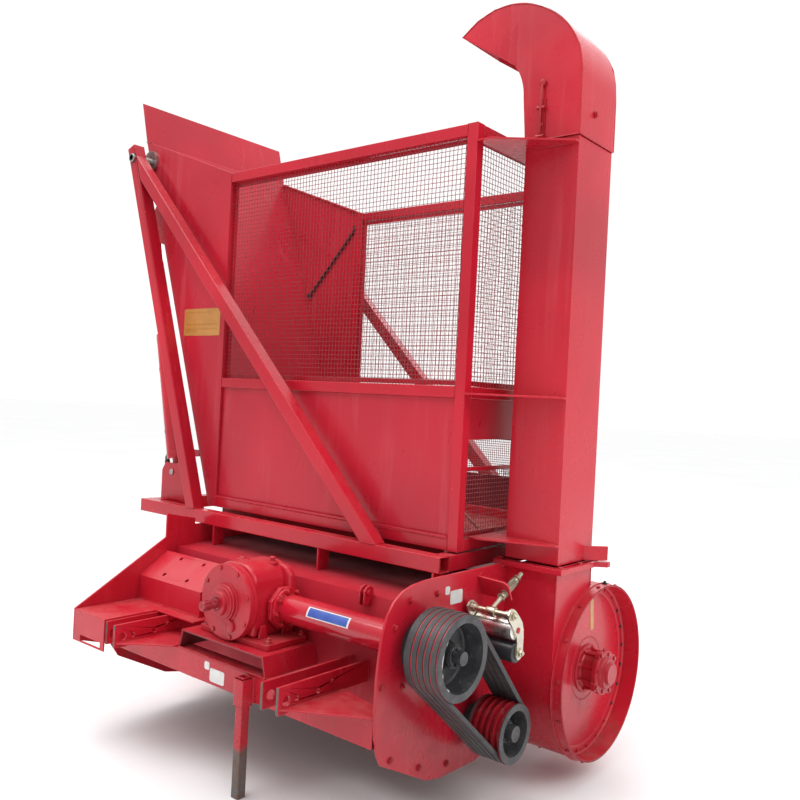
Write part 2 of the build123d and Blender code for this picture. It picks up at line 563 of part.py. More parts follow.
with BuildPart() as pivot_pins:
    for lug_y, pin_y0, pin_y1 in ((BIN_Y0, 206, 293), (BIN_Y1 + 12, 1187, 1274)):
        disc(front(lug_y), PIVOT_X + 18, PIVOT_Z, 50, 12)
        disc(front(pin_y1), PIVOT_X, PIVOT_Z, 20, pin_y1 - pin_y0)
finish("pivot_pins", pivot_pins)

with BuildPart() as duct:
    tube("z", DUCT_Z0, DUCT_Z1, *DUCT, wall=4)
    # a guide plate on the foot of the duct, set at an angle
    slab_z(DUCT_Z0, 814, [(866, 662), (866, 653), (872, 653), (930, 714), (926, 719), (871, 662)])
finish("duct", duct)

def elbow_area(plane, inset):
    """The elbow in (x, z): its outer curve, its mouth and its inner curve."""
    with BuildSketch(plane) as area:
        with BuildLine():
            Line((872 - inset, DUCT_Z1), (872 - inset, 2350))
            ThreePointArc((872 - inset, 2350), (830 - inset, 2505 - inset * 0.5), (707 - inset * 0.5, 2616 - inset))
            ThreePointArc((707 - inset * 0.5, 2616 - inset), (550, 2656 - inset), (383, 2586 - inset))
            Line((383, 2586 - inset), (610, 2438))
            ThreePointArc((610, 2438), (640 + inset * 0.7, 2385), (652 + inset, 2320))
            Line((652 + inset, 2320), (666 + inset, DUCT_Z1))
            Line((666 + inset, DUCT_Z1), (872 - inset, DUCT_Z1))
        make_face()
    return area.sketch


with BuildPart() as elbow:
    extrude(elbow_area(front(DUCT[3] + 4), 0), amount=DUCT[3] - DUCT[2] + 8)
    extrude(elbow_area(front(DUCT[3]), 4), amount=DUCT[3] - DUCT[2], mode=Mode.SUBTRACT)
    slab_y(DUCT[2], DUCT[3], [(392, 2572), (383, 2540), (600, 2400), (610, 2438), (596, 2452), (420, 2566)],
           mode=Mode.SUBTRACT)
finish("elbow", elbow)

with BuildPart() as duct_brackets:
    for z in (826, 1304, 2136):
        slab_z(z, z + 6, [(BIN_X1, 372 if z == 826 else 305), (640, 372 if z == 826 else 305), (868, 462), (868, DUCT[2]),
                          (DUCT[0], DUCT[2]),
                          (DUCT[0], DUCT[3]), (BIN_X1, DUCT[3])])
finish("duct_brackets", duct_brackets)

# ------------------------------------------------------------------ cylinders
reach = math.hypot(EYE_X - FOOT_X, EYE_Z - FOOT_Z)
ux, uz = (EYE_X - FOOT_X) / reach, (EYE_Z - FOOT_Z) / reach


def along(y, t):
    """A plane square to the cylinder, t mm up from its foot pin."""
    return Plane(origin=(OX + FOOT_X + ux * t, OY + y, FOOT_Z + uz * t), x_dir=(0, 1, 0), z_dir=(ux, 0, uz))


BARREL_TOP = 640.0                      # the barrel's gland; above it the bare rod
for name, y in zip(("front", "rear"), CYLINDER_Y):
    with BuildPart() as barrel:
        disc(front(y + 19), FOOT_X, FOOT_Z, 32, 38)
        disc(along(y, 5), 0, 0, 19, 58)
        disc(along(y, 60), 0, 0, 42, BARREL_TOP - 60)
        disc(along(y, 70), 0, 0, 35, BARREL_TOP - 100, mode=Mode.SUBTRACT)
        disc(along(y, 70), 0, 0, 20 + SHAFT_GAP, BARREL_TOP, mode=Mode.SUBTRACT)
        disc(front(y + 19), FOOT_X, FOOT_Z, 14 + SHAFT_GAP, 38, mode=Mode.SUBTRACT)
    finish(f"cylinder_barrel_{name}", barrel)
    with BuildPart() as piston_rod:
        disc(along(y, 80), 0, 0, 20, reach - 100)
        disc(front(y + 19), EYE_X, EYE_Z, 30, 38)
        disc(front(y + 19), EYE_X, EYE_Z, 15, 38, mode=Mode.SUBTRACT)
    finish(f"cylinder_rod_{name}", piston_rod)

with BuildPart() as cylinder_feet:
    # columns: y of the cylinder, y of its wide outer plate, y of its narrow inner plate
    for y, y_wide, y_narrow in ((CYLINDER_Y[0], CYLINDER_Y[0] - 32, CYLINDER_Y[0] + 24),
                                (CYLINDER_Y[1], CYLINDER_Y[1] + 24, CYLINDER_Y[1] - 32)):
        slab_y(y_wide, y_wide + 8, [(-1074, 778), (-800, 778), (-862, 978), (-808, 985), (-808, 1012), (-900, 1012),
                                    (-962, 940), (-1050, 940), (-1074, 905)])
        slab_y(y_narrow, y_narrow + 8, [(-1074, 778), (-1020, 778), (-964, 892), (-970, 924), (-990, 938), (-1014, 938),
                                        (-1040, 926), (-1074, 850)])
        disc(front(y + 36), FOOT_X, FOOT_Z, 14, 72)
finish("cylinder_feet", cylinder_feet)

with BuildPart() as cylinder_clevises:
    for y in CYLINDER_Y:
        for y0 in (y - 32, y + 24):
            low = WALL_FOOT[0] - (1930 - BIN_Z0) * 598 / 1653
            high = WALL_FOOT[0] - (2150 - BIN_Z0) * 598 / 1653
            slab_y(y0, y0 + 8, [(low, 1930), (high, 2150), (EYE_X - 22, 2044), (EYE_X - 34, 2008), (EYE_X - 22, 1980),
                                (EYE_X, 1972)])
finish("cylinder_clevises", cylinder_clevises)
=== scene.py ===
import math
import random

import bpy
import bmesh
from mathutils import Matrix, Vector, noise


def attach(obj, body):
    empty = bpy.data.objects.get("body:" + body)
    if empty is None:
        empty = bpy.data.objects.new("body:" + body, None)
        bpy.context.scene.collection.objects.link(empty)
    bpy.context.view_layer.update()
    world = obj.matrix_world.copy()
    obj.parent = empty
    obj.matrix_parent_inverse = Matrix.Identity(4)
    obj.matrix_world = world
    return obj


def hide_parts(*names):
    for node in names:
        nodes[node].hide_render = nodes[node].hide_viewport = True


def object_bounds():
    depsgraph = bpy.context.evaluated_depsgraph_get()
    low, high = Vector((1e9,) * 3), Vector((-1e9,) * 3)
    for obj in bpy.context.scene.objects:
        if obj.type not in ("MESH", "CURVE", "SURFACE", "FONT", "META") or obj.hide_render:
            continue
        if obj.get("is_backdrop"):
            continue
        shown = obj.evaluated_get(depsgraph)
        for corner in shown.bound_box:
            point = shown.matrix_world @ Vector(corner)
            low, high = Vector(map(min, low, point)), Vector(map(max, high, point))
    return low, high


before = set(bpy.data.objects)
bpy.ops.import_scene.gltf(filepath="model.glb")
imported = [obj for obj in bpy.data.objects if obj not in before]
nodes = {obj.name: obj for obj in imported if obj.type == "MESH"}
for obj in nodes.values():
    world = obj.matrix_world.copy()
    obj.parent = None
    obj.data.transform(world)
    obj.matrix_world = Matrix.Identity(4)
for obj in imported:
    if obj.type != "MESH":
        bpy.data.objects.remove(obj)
cad_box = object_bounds()
random.seed(7)

# Machine coordinates in millimetres, as the CAD has them, shifted to the row frame.
OX, OY = 209.5, -493.5


def R(p):
    return Vector(((p[0] + OX) / 1000, (p[1] + OY) / 1000, p[2] / 1000))


# ------------------------------------------------------------------ materials
class Mat:
    def __init__(self, name, rough=0.5, metallic=0.0, color=(0.5, 0.5, 0.5)):
        self.m = bpy.data.materials.new(name)
        self.m.use_nodes = True
        self.nt = self.m.node_tree
        self.nt.nodes.clear()
        self.out = self.node("ShaderNodeOutputMaterial")
        self.b = self.node("ShaderNodeBsdfPrincipled")
        self.link(self.b.outputs[0], self.out.inputs[0])
        self.b.inputs["Roughness"].default_value = rough
        self.b.inputs["Metallic"].default_value = metallic
        self.b.inputs["Base Color"].default_value = (*color, 1)
        self.tc = self.node("ShaderNodeTexCoord")
        self.co = self.tc.outputs["Object"]
        self.normal = self.tc.outputs["Normal"]

    def node(self, kind):
        return self.nt.nodes.new(kind)

    def link(self, a, b):
        self.nt.links.new(a, b)

    def put(self, socket, value):
        if isinstance(value, bpy.types.NodeSocket):
            self.link(value, socket)
        elif isinstance(value, tuple) and len(value) == 3 and socket.type == "RGBA":
            socket.default_value = (*value, 1)
        else:
            socket.default_value = value

    def scaled(self, scale):
        n = self.node("ShaderNodeMapping")
        self.link(self.co, n.inputs["Vector"])
        n.inputs["Scale"].default_value = scale
        return n.outputs[0]

    def noise(self, scale, detail=2.0, rough=0.5, vec=None, distort=0.0):
        n = self.node("ShaderNodeTexNoise")
        self.link(vec or self.co, n.inputs["Vector"])
        n.inputs["Scale"].default_value = scale
        n.inputs["Detail"].default_value = detail
        n.inputs["Roughness"].default_value = rough
        n.inputs["Distortion"].default_value = distort
        return n.outputs["Fac"]

    def voronoi(self, scale, feature="DISTANCE_TO_EDGE", vec=None):
        n = self.node("ShaderNodeTexVoronoi")
        n.feature = feature
        self.link(vec or self.co, n.inputs["Vector"])
        n.inputs["Scale"].default_value = scale
        return n.outputs["Distance"]

    def span(self, value, a, b, c=0.0, d=1.0, smooth=False):
        n = self.node("ShaderNodeMapRange")
        n.clamp = True
        if smooth:
            n.interpolation_type = "SMOOTHSTEP"
        self.link(value, n.inputs["Value"])
        for key, v in zip(("From Min", "From Max", "To Min", "To Max"), (a, b, c, d)):
            n.inputs[key].default_value = v
        return n.outputs["Result"]

    def math(self, op, a, b=0.0, clamp=False):
        n = self.node("ShaderNodeMath")
        n.operation = op
        n.use_clamp = clamp
        self.put(n.inputs[0], a)
        self.put(n.inputs[1], b)
        return n.outputs[0]

    def mix(self, fac, a, b):
        n = self.node("ShaderNodeMix")
        n.data_type = "RGBA"
        self.put(n.inputs["Factor"], fac)
        self.put(n.inputs["A"] if "A" in n.inputs and n.inputs["A"].type == "RGBA" else n.inputs[6], a)
        self.put(n.inputs["B"] if "B" in n.inputs and n.inputs["B"].type == "RGBA" else n.inputs[7], b)
        return n.outputs[2]

    def axis(self, vec, i):
        n = self.node("ShaderNodeSeparateXYZ")
        self.link(vec, n.inputs[0])
        return n.outputs[i]

    def bump(self, height, strength, distance, normal=None):
        n = self.node("ShaderNodeBump")
        n.inputs["Strength"].default_value = strength
        n.inputs["Distance"].default_value = distance
        self.link(height, n.inputs["Height"])
        if normal is not None:
            self.link(normal, n.inputs["Normal"])
        return n.outputs[0]

    def color(self, v):
        self.put(self.b.inputs["Base Color"], v)

    def rough(self, v):
        self.put(self.b.inputs["Roughness"], v)

    def set(self, **values):
        for key, v in values.items():
            self.put(self.b.inputs[key.replace("_", " ")], v)
        return self


def paint(name, base=(0.56, 0.012, 0.030), deep=(0.40, 0.008, 0.021), gloss=0.27, coat=0.11, dents=0.25,
          cast=0.0, dust=0.22, dirt=0.55, streaks=0.20, bare=None, bare_below=None, shade=None):
    """Sprayed gloss enamel on sheet or casting: uneven coats, dust, dirt near the bottom, small chips, and painted
    shade where a shade mask is given.
    """
    m = Mat(name)
    fade = m.span(m.noise(1.4, 3.0), 0.35, 0.68, smooth=True)
    col = m.mix(fade, base, deep)
    run = m.noise(1.0, 4.0, 0.6, vec=m.scaled((26.0, 26.0, 1.6)))
    film = m.math("MULTIPLY", m.span(run, 0.50, 0.80, smooth=True), m.span(m.noise(2.3, 2.0), 0.40, 0.62))
    film = m.math("MULTIPLY", film, streaks)
    col = m.mix(film, col, (0.62, 0.13, 0.15))
    up = m.span(m.axis(m.normal, 2), 0.55, 0.95, smooth=True)
    settled = m.math("MULTIPLY", up, m.span(m.noise(11.0, 5.0, 0.65), 0.36, 0.70))
    settled = m.math("MULTIPLY", settled, dust)
    col = m.mix(settled, col, (0.52, 0.25, 0.21))
    low = m.span(m.axis(m.co, 2), 0.62, 0.05, smooth=True)
    mud = m.math("MULTIPLY", low, m.span(m.noise(17.0, 6.0, 0.7), 0.50, 0.78))
    mud = m.math("MULTIPLY", mud, dirt)
    col = m.mix(mud, col, (0.16, 0.055, 0.04))
    chip = m.span(m.noise(70.0, 3.0, 0.55), 0.725, 0.745)
    chip = m.math("MULTIPLY", chip, m.span(m.noise(5.0, 2.0), 0.52, 0.60))
    col = m.mix(chip, col, (0.13, 0.03, 0.025))
    rough = m.span(m.noise(6.0, 4.0, 0.6), 0.3, 0.7, gloss * 0.8, gloss * 1.35)
    for mask, amount in ((film, 0.35), (settled, 0.9), (mud, 0.7), (chip, 0.6)):
        rough = m.math("ADD", rough, m.math("MULTIPLY", mask, amount), clamp=True)
    # painted shade: where a shade mask is given, the colour is pulled to near-black red and roughened
    if shade is not None:
        painted_shade = m.math("MULTIPLY", shade(m), m.span(m.noise(7.0, 4.0, 0.6), 0.20, 0.55, 0.72, 1.0))
        col = m.mix(painted_shade, col, (0.055, 0.012, 0.014))
        rough = m.math("ADD", rough, m.math("MULTIPLY", painted_shade, 0.3), clamp=True)
    if bare is not None or bare_below is not None:
        if bare_below is not None:
            edge = m.math("ADD", m.axis(m.co, 2), m.math("MULTIPLY", m.noise(38.0, 5.0, 0.7), 0.05))
            mask = m.span(edge, bare_below + 0.040, bare_below + 0.020)
        else:
            mask = bare(m)
        steel = m.mix(m.span(m.noise(45.0, 6.0, 0.7), 0.42, 0.62), (0.115, 0.105, 0.10), (0.13, 0.07, 0.045))
        col = m.mix(mask, col, steel)
        rough = m.math("ADD", rough, m.math("MULTIPLY", mask, 0.25), clamp=True)
    m.color(col)
    m.rough(rough)
    n = m.bump(m.noise(3.4, 1.0), dents, 0.010)
    n = m.bump(m.noise(330.0, 1.0), 0.05, 0.0006, n)
    if cast:
        n = m.bump(m.noise(120.0, 5.0, 0.7), cast, 0.0016, n)
    n = m.bump(chip, 0.35, 0.0005, n) if not cast else n
    m.link(n, m.b.inputs["Normal"])
    m.set(Coat_Weight=coat, Coat_Roughness=0.09, Coat_IOR=1.5, IOR=1.42)
    return m.m


def metal(name, color, rough, metallic=1.0, spots=None, spot_color=(0.2, 0.1, 0.05), brushed=None, grain=90.0):
    m = Mat(name, rough, metallic, color)
    tone = m.span(m.noise(9.0, 4.0, 0.6), 0.3, 0.7)
    col = m.mix(tone, color, tuple(c * 0.72 for c in color))
    r = m.span(m.noise(grain, 3.0, 0.6), 0.3, 0.7, rough * 0.75, min(1.0, rough * 1.35))
    if spots is not None:
        mask = m.span(m.noise(34.0, 6.0, 0.72), spots, spots + 0.07)
        col = m.mix(mask, col, spot_color)
        r = m.math("ADD", r, m.math("MULTIPLY", mask, 0.3), clamp=True)
    m.color(col)
    m.rough(r)
    vec = m.scaled(brushed) if brushed else None
    m.link(m.bump(m.noise(grain * 3, 3.0, 0.6, vec=vec), 0.08, 0.0005), m.b.inputs["Normal"])
    return m.m


def pulley_paint(name, cy, cz, radius):
    """Dark cast faces; the lands and grooves between the faces carry red overspray."""
    m = Mat(name, 0.42)
    x = m.axis(m.co, 0)
    dy = m.math("SUBTRACT", m.axis(m.co, 1), (cy + OY) / 1000)
    dz = m.math("SUBTRACT", m.axis(m.co, 2), cz / 1000)
    away = m.math("SQRT", m.math("ADD", m.math("MULTIPLY", dy, dy), m.math("MULTIPLY", dz, dz)))
    inside = m.math("MULTIPLY", m.span(x, (722 + 6 + OX) / 1000, (722 + 8 + OX) / 1000),
                    m.span(x, (841 - 3 + OX) / 1000, (841 - 5 + OX) / 1000))
    inside = m.math("MULTIPLY", inside, m.span(away, (radius - 19) / 1000, (radius - 17.5) / 1000))
    tone = m.span(m.noise(22.0, 5.0, 0.65), 0.35, 0.7)
    dark = m.mix(tone, (0.030, 0.031, 0.034), (0.070, 0.070, 0.074))
    red = m.mix(tone, (0.42, 0.010, 0.022), (0.30, 0.012, 0.02))
    col = m.mix(inside, dark, red)
    wear = m.math("MULTIPLY", m.span(m.noise(60.0, 4.0, 0.6), 0.60, 0.66), 0.55)
    col = m.mix(wear, col, (0.16, 0.155, 0.15))
    m.color(col)
    m.rough(m.span(m.noise(30.0, 4.0), 0.3, 0.7, 0.34, 0.55))
    n = m.bump(m.noise(150.0, 5.0, 0.7), 0.22, 0.0012)
    m.link(n, m.b.inputs["Normal"])
    m.set(Metallic=0.15)
    return m.m


def rubber(name, color=(0.022, 0.022, 0.024), rough=0.62, weave=0.0, dusty=0.35):
    m = Mat(name, rough)
    tone = m.span(m.noise(14.0, 5.0, 0.65), 0.35, 0.75)
    col = m.mix(tone, color, tuple(c * 1.9 for c in color))
    grey = m.math("MULTIPLY", m.span(m.noise(5.0, 4.0, 0.7), 0.48, 0.75), dusty)
    col = m.mix(grey, col, (0.16, 0.14, 0.125))
    m.color(col)
    m.rough(m.span(m.noise(40.0, 3.0), 0.3, 0.7, rough * 0.85, min(1.0, rough * 1.2)))
    n = m.bump(m.noise(160.0, 4.0, 0.6), 0.18, 0.001)
    if weave:
        n = m.bump(m.voronoi(900.0), weave, 0.0006, n)
    m.link(n, m.b.inputs["Normal"])
    return m.m


def label(name, color, tint, rough=0.42):
    """A plain printed foil: no text, only a creased, slightly faded ground."""
    m = Mat(name, rough)
    m.color(m.mix(m.span(m.noise(24.0, 5.0, 0.6), 0.35, 0.7), color, tint))
    m.rough(m.span(m.noise(18.0, 3.0), 0.3, 0.7, rough * 0.7, rough * 1.3))
    m.link(m.bump(m.noise(42.0, 4.0, 0.6), 0.25, 0.0012), m.b.inputs["Normal"])
    m.set(Coat_Weight=0.25, Coat_Roughness=0.2)
    return m.m


def front_edges(m):
    """Bare cut ends that face the tractor."""
    ny = m.span(m.axis(m.normal, 1), -0.80, -0.95)
    near = m.span(m.axis(m.co, 1), (-309 + OY) / 1000, (-312 + OY) / 1000)
    worn = m.span(m.noise(26.0, 4.0, 0.6), 0.34, 0.46)
    return m.math("MULTIPLY", m.math("MULTIPLY", ny, near), worn)


RED = paint("red_enamel")
RED_SMOOTH = paint("red_enamel_duct", dents=0.18, streaks=0.25, dust=0.3)
RED_PANEL = paint("red_enamel_panel", base=(0.53, 0.013, 0.032), deep=(0.41, 0.010, 0.025), dents=0.45, streaks=0.3, gloss=0.30)


def inner_shade(m):
    """Painted shade on the bin's inside faces, which face away from the light."""
    return m.math("MULTIPLY", m.span(m.axis(m.normal, 1), -0.7, -0.9), 0.85)


def hood_shade(m):
    """Painted shade on the housing's top, under the base frame."""
    return m.math("MULTIPLY", m.span(m.axis(m.co, 2), 0.643, 0.652), m.span(m.axis(m.normal, 2), 0.6, 0.9, 0.0, 0.92))


def seat_shade(m):
    """Painted shade on the underside of the gearbox seat."""
    return m.math("MULTIPLY", m.span(m.axis(m.normal, 2), 0.2, -0.2), 0.9)


# back panel red with painted shade on its inside faces
RED_BACK = paint("red_enamel_back_panel", base=(0.53, 0.013, 0.032), deep=(0.41, 0.010, 0.025), dents=0.45, shade=inner_shade)
# hood red with painted shade darkening its top sheet under the base frame
RED_HOOD = paint("red_enamel_hood", base=(0.50, 0.010, 0.028), deep=(0.38, 0.008, 0.021), shade=hood_shade, dust=0.05,
                 coat=0.0, gloss=0.5)
# gearbox seat red with painted shade on its underside
RED_SEAT = paint("red_enamel_seat", dents=0.08, shade=seat_shade, dust=0.1)
RED_TUBE = paint("red_enamel_tube", dents=0.08, streaks=0.12, gloss=0.22)
RED_SHAFT_TUBE = paint("red_enamel_gloss", dents=0.05, streaks=0.05, gloss=0.16, coat=0.5, dust=0.1)
RED_CAST = paint("red_enamel_cast", base=(0.54, 0.011, 0.028), deep=(0.38, 0.008, 0.020), cast=0.34, gloss=0.33, dents=0.05,
                 streaks=0.1, dirt=0.6)
RED_BRACKET = paint("red_enamel_bracket", dents=0.06, bare=front_edges)
RED_LEG = paint("red_enamel_leg", dents=0.05, bare_below=0.150, dirt=0.9)
RED_WELD = paint("red_enamel_weld", base=(0.50, 0.010, 0.020), deep=(0.34, 0.006, 0.014), cast=0.15, gloss=0.30, dents=0.0, streaks=0.0)
RED_BOLT = paint("red_enamel_bolt", base=(0.48, 0.010, 0.020), deep=(0.30, 0.008, 0.014), gloss=0.32, dents=0.0, streaks=0.0)
# a darker copy of the red enamel: the dark base and deep colours are painted shade for the bin's inside; the dust is
# real
RED_IN_SHADED = paint("red_enamel_inside_shaded", base=(0.30, 0.010, 0.018), deep=(0.20, 0.008, 0.014), gloss=0.34, dents=0.45, streaks=0.5, dust=0.5)
WIRE = paint("mesh_enamel", base=(0.34, 0.035, 0.045), deep=(0.20, 0.028, 0.034), gloss=0.38, coat=0.15, dents=0.0, streaks=0.0)
PULLEY_BIG = pulley_paint("pulley_cast_big", 8, 558, 122)
PULLEY_SMALL = pulley_paint("pulley_cast_small", 313, 261, 91.5)
DARK = metal("dark_cast_iron", (0.045, 0.045, 0.048), 0.46, 0.35, spots=0.66, spot_color=(0.12, 0.07, 0.045))
FLAIL = metal("flail_steel", (0.055, 0.052, 0.052), 0.5, 0.6, spots=0.60, spot_color=(0.16, 0.085, 0.05))
DRUM = metal("drum_steel", (0.09, 0.03, 0.032), 0.5, 0.3, spots=0.58, spot_color=(0.14, 0.08, 0.05))
STEEL = metal("turned_steel", (0.86, 0.85, 0.82), 0.27, 1.0, grain=60.0, brushed=(90.0, 4.0, 4.0))
SHAFT = metal("shaft_steel", (0.45, 0.44, 0.42), 0.34, 1.0, spots=0.64, spot_color=(0.22, 0.13, 0.08))
SHAFT_RED = metal("shaft_overspray", (0.42, 0.035, 0.050), 0.36, 0.35, spots=0.64, spot_color=(0.30, 0.20, 0.17))
CHROME = metal("hard_chrome", (0.72, 0.73, 0.74), 0.09, 1.0, grain=50.0)
ZINC = metal("yellow_zinc", (0.60, 0.55, 0.42), 0.32, 1.0, spots=0.70, spot_color=(0.36, 0.24, 0.14))
ZINC_PALE = metal("pale_zinc", (0.70, 0.66, 0.55), 0.34, 1.0, spots=0.72, spot_color=(0.40, 0.30, 0.20))
BELT = rubber("belt_rubber", (0.028, 0.028, 0.030), 0.5, weave=0.25, dusty=0.30)
ROLLER = rubber("roller_black", (0.016, 0.016, 0.018), 0.32, dusty=0.2)
TYRE = rubber("tyre_rubber", (0.022, 0.022, 0.023), 0.74, dusty=0.6)
HOSE = rubber("hose_rubber", (0.012, 0.012, 0.013), 0.40, dusty=0.15)
YELLOW = label("label_yellow", (0.52, 0.235, 0.050), (0.44, 0.19, 0.04))
WHITE = label("label_white", (0.72, 0.72, 0.70), (0.60, 0.59, 0.57))
BLUE = label("label_blue", (0.030, 0.075, 0.36), (0.05, 0.11, 0.42))
STRIP = label("label_strip", (0.62, 0.33, 0.10), (0.50, 0.22, 0.08))
INK = label("label_rule", (0.46, 0.20, 0.02), (0.40, 0.17, 0.03))
CHIPPED = label("chipped_paint", (0.55, 0.54, 0.50), (0.35, 0.34, 0.32), 0.6)
# near-black material made as painted shadow for gaps
SHADOW_GAP_BLACK = rubber("shadow_gap", (0.006, 0.006, 0.006), 0.9, dusty=0.0)


# --------------------------------------------------------------- mesh making
class Shape:
    """Vertices in machine millimetres and faces, gathered before they become one mesh."""

    def __init__(self):
        self.v, self.f, self.k = [], [], []

    def add(self, verts, faces, kind=0):
        base = len(self.v)
        self.v += [tuple(p) for p in verts]
        self.f += [[i + base for i in f] for f in faces]
        self.k += [kind] * len(faces)


def make(shape, name, body, mats, angle=38.0, bevel=0.0, segments=2, stands_for=()):
    mesh = bpy.data.meshes.new(name)
    mesh.from_pydata([R(p) for p in shape.v], [], shape.f)
    mats = mats if isinstance(mats, (list, tuple)) else [mats]
    for mat in mats:
        mesh.materials.append(mat)
    mesh.polygons.foreach_set("material_index", shape.k)
    bm = bmesh.new()
    bm.from_mesh(mesh)
    bmesh.ops.recalc_face_normals(bm, faces=bm.faces)
    bm.to_mesh(mesh)
    bm.free()
    mesh.shade_smooth()
    mesh.set_sharp_from_angle(angle=math.radians(angle))
    mesh.update()
    obj = bpy.data.objects.new(name, mesh)
    bpy.context.scene.collection.objects.link(obj)
    if bevel:
        b = obj.modifiers.new("edge", "BEVEL")
        b.width = bevel / 1000
        b.segments = segments
        b.limit_method = "ANGLE"
        b.angle_limit = math.radians(35)
        b.harden_normals = True
    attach(obj, body)
    if stands_for:
        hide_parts(*stands_for)
    return obj


def basis(n):
    n = Vector(n).normalized()
    t = Vector((0, 0, 1)) if abs(n.z) < 0.9 else Vector((1, 0, 0))
    u = t.cross(n).normalized()
    return u, n.cross(u).normalized(), n


def lathe(s, origin, axis, profile, segs=32, kind=0, start=0.0, closed=False):
    """Turns a profile of (radius, height) points about an axis."""
    u, v, n = basis(axis)
    o = Vector(origin)
    verts, rings = [], []
    for r, h in profile:
        if r < 1e-6:
            rings.append([len(verts)])
            verts.append(o + n * h)
            continue
        ring = []
        for i in range(segs):
            a = 2 * math.pi * i / segs + start
            ring.append(len(verts))
            verts.append(o + n * h + u * (r * math.cos(a)) + v * (r * math.sin(a)))
        rings.append(ring)
    faces = []
    pairs = list(zip(rings, rings[1:])) + ([(rings[-1], rings[0])] if closed else [])
    for a, b in pairs:
        if len(a) == 1 and len(b) == 1:
            continue
        for i in range(segs):
            j = (i + 1) % segs
            if len(a) == 1:
                faces.append([a[0], b[i], b[j]])
            elif len(b) == 1:
                faces.append([a[i], b[0], a[j]])
            else:
                faces.append([a[i], a[j], b[j], b[i]])
    s.add(verts, faces, kind)


def ring_of(centre, axis, radius, count, start=0.0):
    u, v, n = basis(axis)
    c = Vector(centre)
    return [c + u * (radius * math.cos(start + 2 * math.pi * i / count)) + v * (radius * math.sin(start + 2 * math.pi * i / count))
            for i in range(count)]


def bolt(s, pos, n, size=12.0, washer=True, kind=0, turn=None, thread=0.0, nut_kind=None):
    """A hexagon head on its washer; with thread, a nut with the bolt's end standing out."""
    pos = Vector(pos)
    h = -0.6
    if washer:
        lathe(s, pos, n, [(0, h), (size * 1.12, h), (size * 1.12, size * 0.14), (size * 1.04, size * 0.2), (0, size * 0.2)], 22, kind)
        h = size * 0.2
    r = size * 0.92
    turn = random.uniform(0, 1.0) if turn is None else turn
    top = h + size * 0.62
    k = kind if nut_kind is None else nut_kind
    lathe(s, pos, n, [(0, h), (r * 0.95, h), (r, h + size * 0.05), (r, top - size * 0.13), (r * 0.84, top), (0, top)], 6, k, turn)
    if thread:
        lathe(s, pos, n, [(0, top - 1), (size * 0.5, top - 1), (size * 0.5, top + thread - size * 0.1),
                          (size * 0.4, top + thread), (0, top + thread)], 14, k)


def prism(s, origin, u, v, w, outline, depth, kind=0):
    """A flat outline in (u, v), carried depth along w."""
    o, u, v, w = Vector(origin), Vector(u), Vector(v), Vector(w)
    n = len(outline)
    low = [o + u * a + v * b for a, b in outline]
    high = [p + w * depth for p in low]
    faces = [list(range(n))[::-1], list(range(n, 2 * n))]
    faces += [[i, (i + 1) % n, n + (i + 1) % n, n + i] for i in range(n)]
    s.add(low + high, faces, kind)


def px(s, x0, x1, outline, kind=0):
    prism(s, (x0, 0, 0), (0, 1, 0), (0, 0, 1), (1, 0, 0), outline, x1 - x0, kind)


def py(s, y0, y1, outline, kind=0):
    prism(s, (0, y0, 0), (1, 0, 0), (0, 0, 1), (0, 1, 0), outline, y1 - y0, kind)


def pz(s, z0, z1, outline, kind=0):
    prism(s, (0, 0, z0), (1, 0, 0), (0, 1, 0), (0, 0, 1), outline, z1 - z0, kind)


def block(s, x0, x1, y0, y1, z0, z1, kind=0):
    pz(s, z0, z1, [(x0, y0), (x1, y0), (x1, y1), (x0, y1)], kind)


def frames_along(points, closed=False):
    """Tangent and a carried normal at each point of a path."""
    pts = [Vector(p) for p in points]
    n = len(pts)
    out = []
    ref = None
    for i in range(n):
        a = pts[i - 1] if i or closed else pts[i]
        b = pts[(i + 1) % n] if i < n - 1 or closed else pts[i]
        t = (b - a).normalized()
        if ref is None:
            ref = basis(t)[0]
        ref = (ref - t * ref.dot(t)).normalized()
        out.append((pts[i], ref.copy(), t.cross(ref).normalized(), t))
    return out


def pipe(s, points, radius, segs=10, kind=0, radii=None, closed=False, jitter=0.0):
    fr = frames_along(points, closed)
    verts, faces = [], []
    n = len(fr)
    for i, (p, u, v, t) in enumerate(fr):
        r = radii[i] if radii else radius
        for j in range(segs):
            a = 2 * math.pi * j / segs
            k = r
            if jitter:
                q = p + u * math.cos(a) * r + v * math.sin(a) * r
                k = r * (1 + jitter * noise.noise(q * 0.21))
            verts.append(p + u * (k * math.cos(a)) + v * (k * math.sin(a)))
    for i in range(n if closed else n - 1):
        b = (i + 1) % n
        for j in range(segs):
            k = (j + 1) % segs
            faces.append([i * segs + j, i * segs + k, b * segs + k, b * segs + j])
    if not closed:
        faces.append(list(range(segs))[::-1])
        faces.append([(n - 1) * segs + j for j in range(segs)])
    s.add(verts, faces, kind)


def bead(s, p, q, r=3.2, kind=0, step=4.5):
    """A hand-laid weld: a rippled, uneven bead from p to q."""
    p, q = Vector(p), Vector(q)
    n = max(3, int((q - p).length / step))
    pts, radii = [], []
    u, v, _ = basis(q - p)
    for i in range(n + 1):
        t = i / n
        c = p.lerp(q, t)
        w = noise.noise(c * 0.05 + Vector((3, 1, 7)))
        c += u * (w * r * 0.35) + v * (noise.noise(c * 0.043) * r * 0.3)
        pts.append(c)
        end = 0.62 if i in (0, n) else 1.0
        radii.append(r * end * (1 + 0.16 * (1 if i % 2 else -1) + 0.35 * noise.noise(c * 0.11)))
    pipe(s, pts, r, 7, kind, radii)


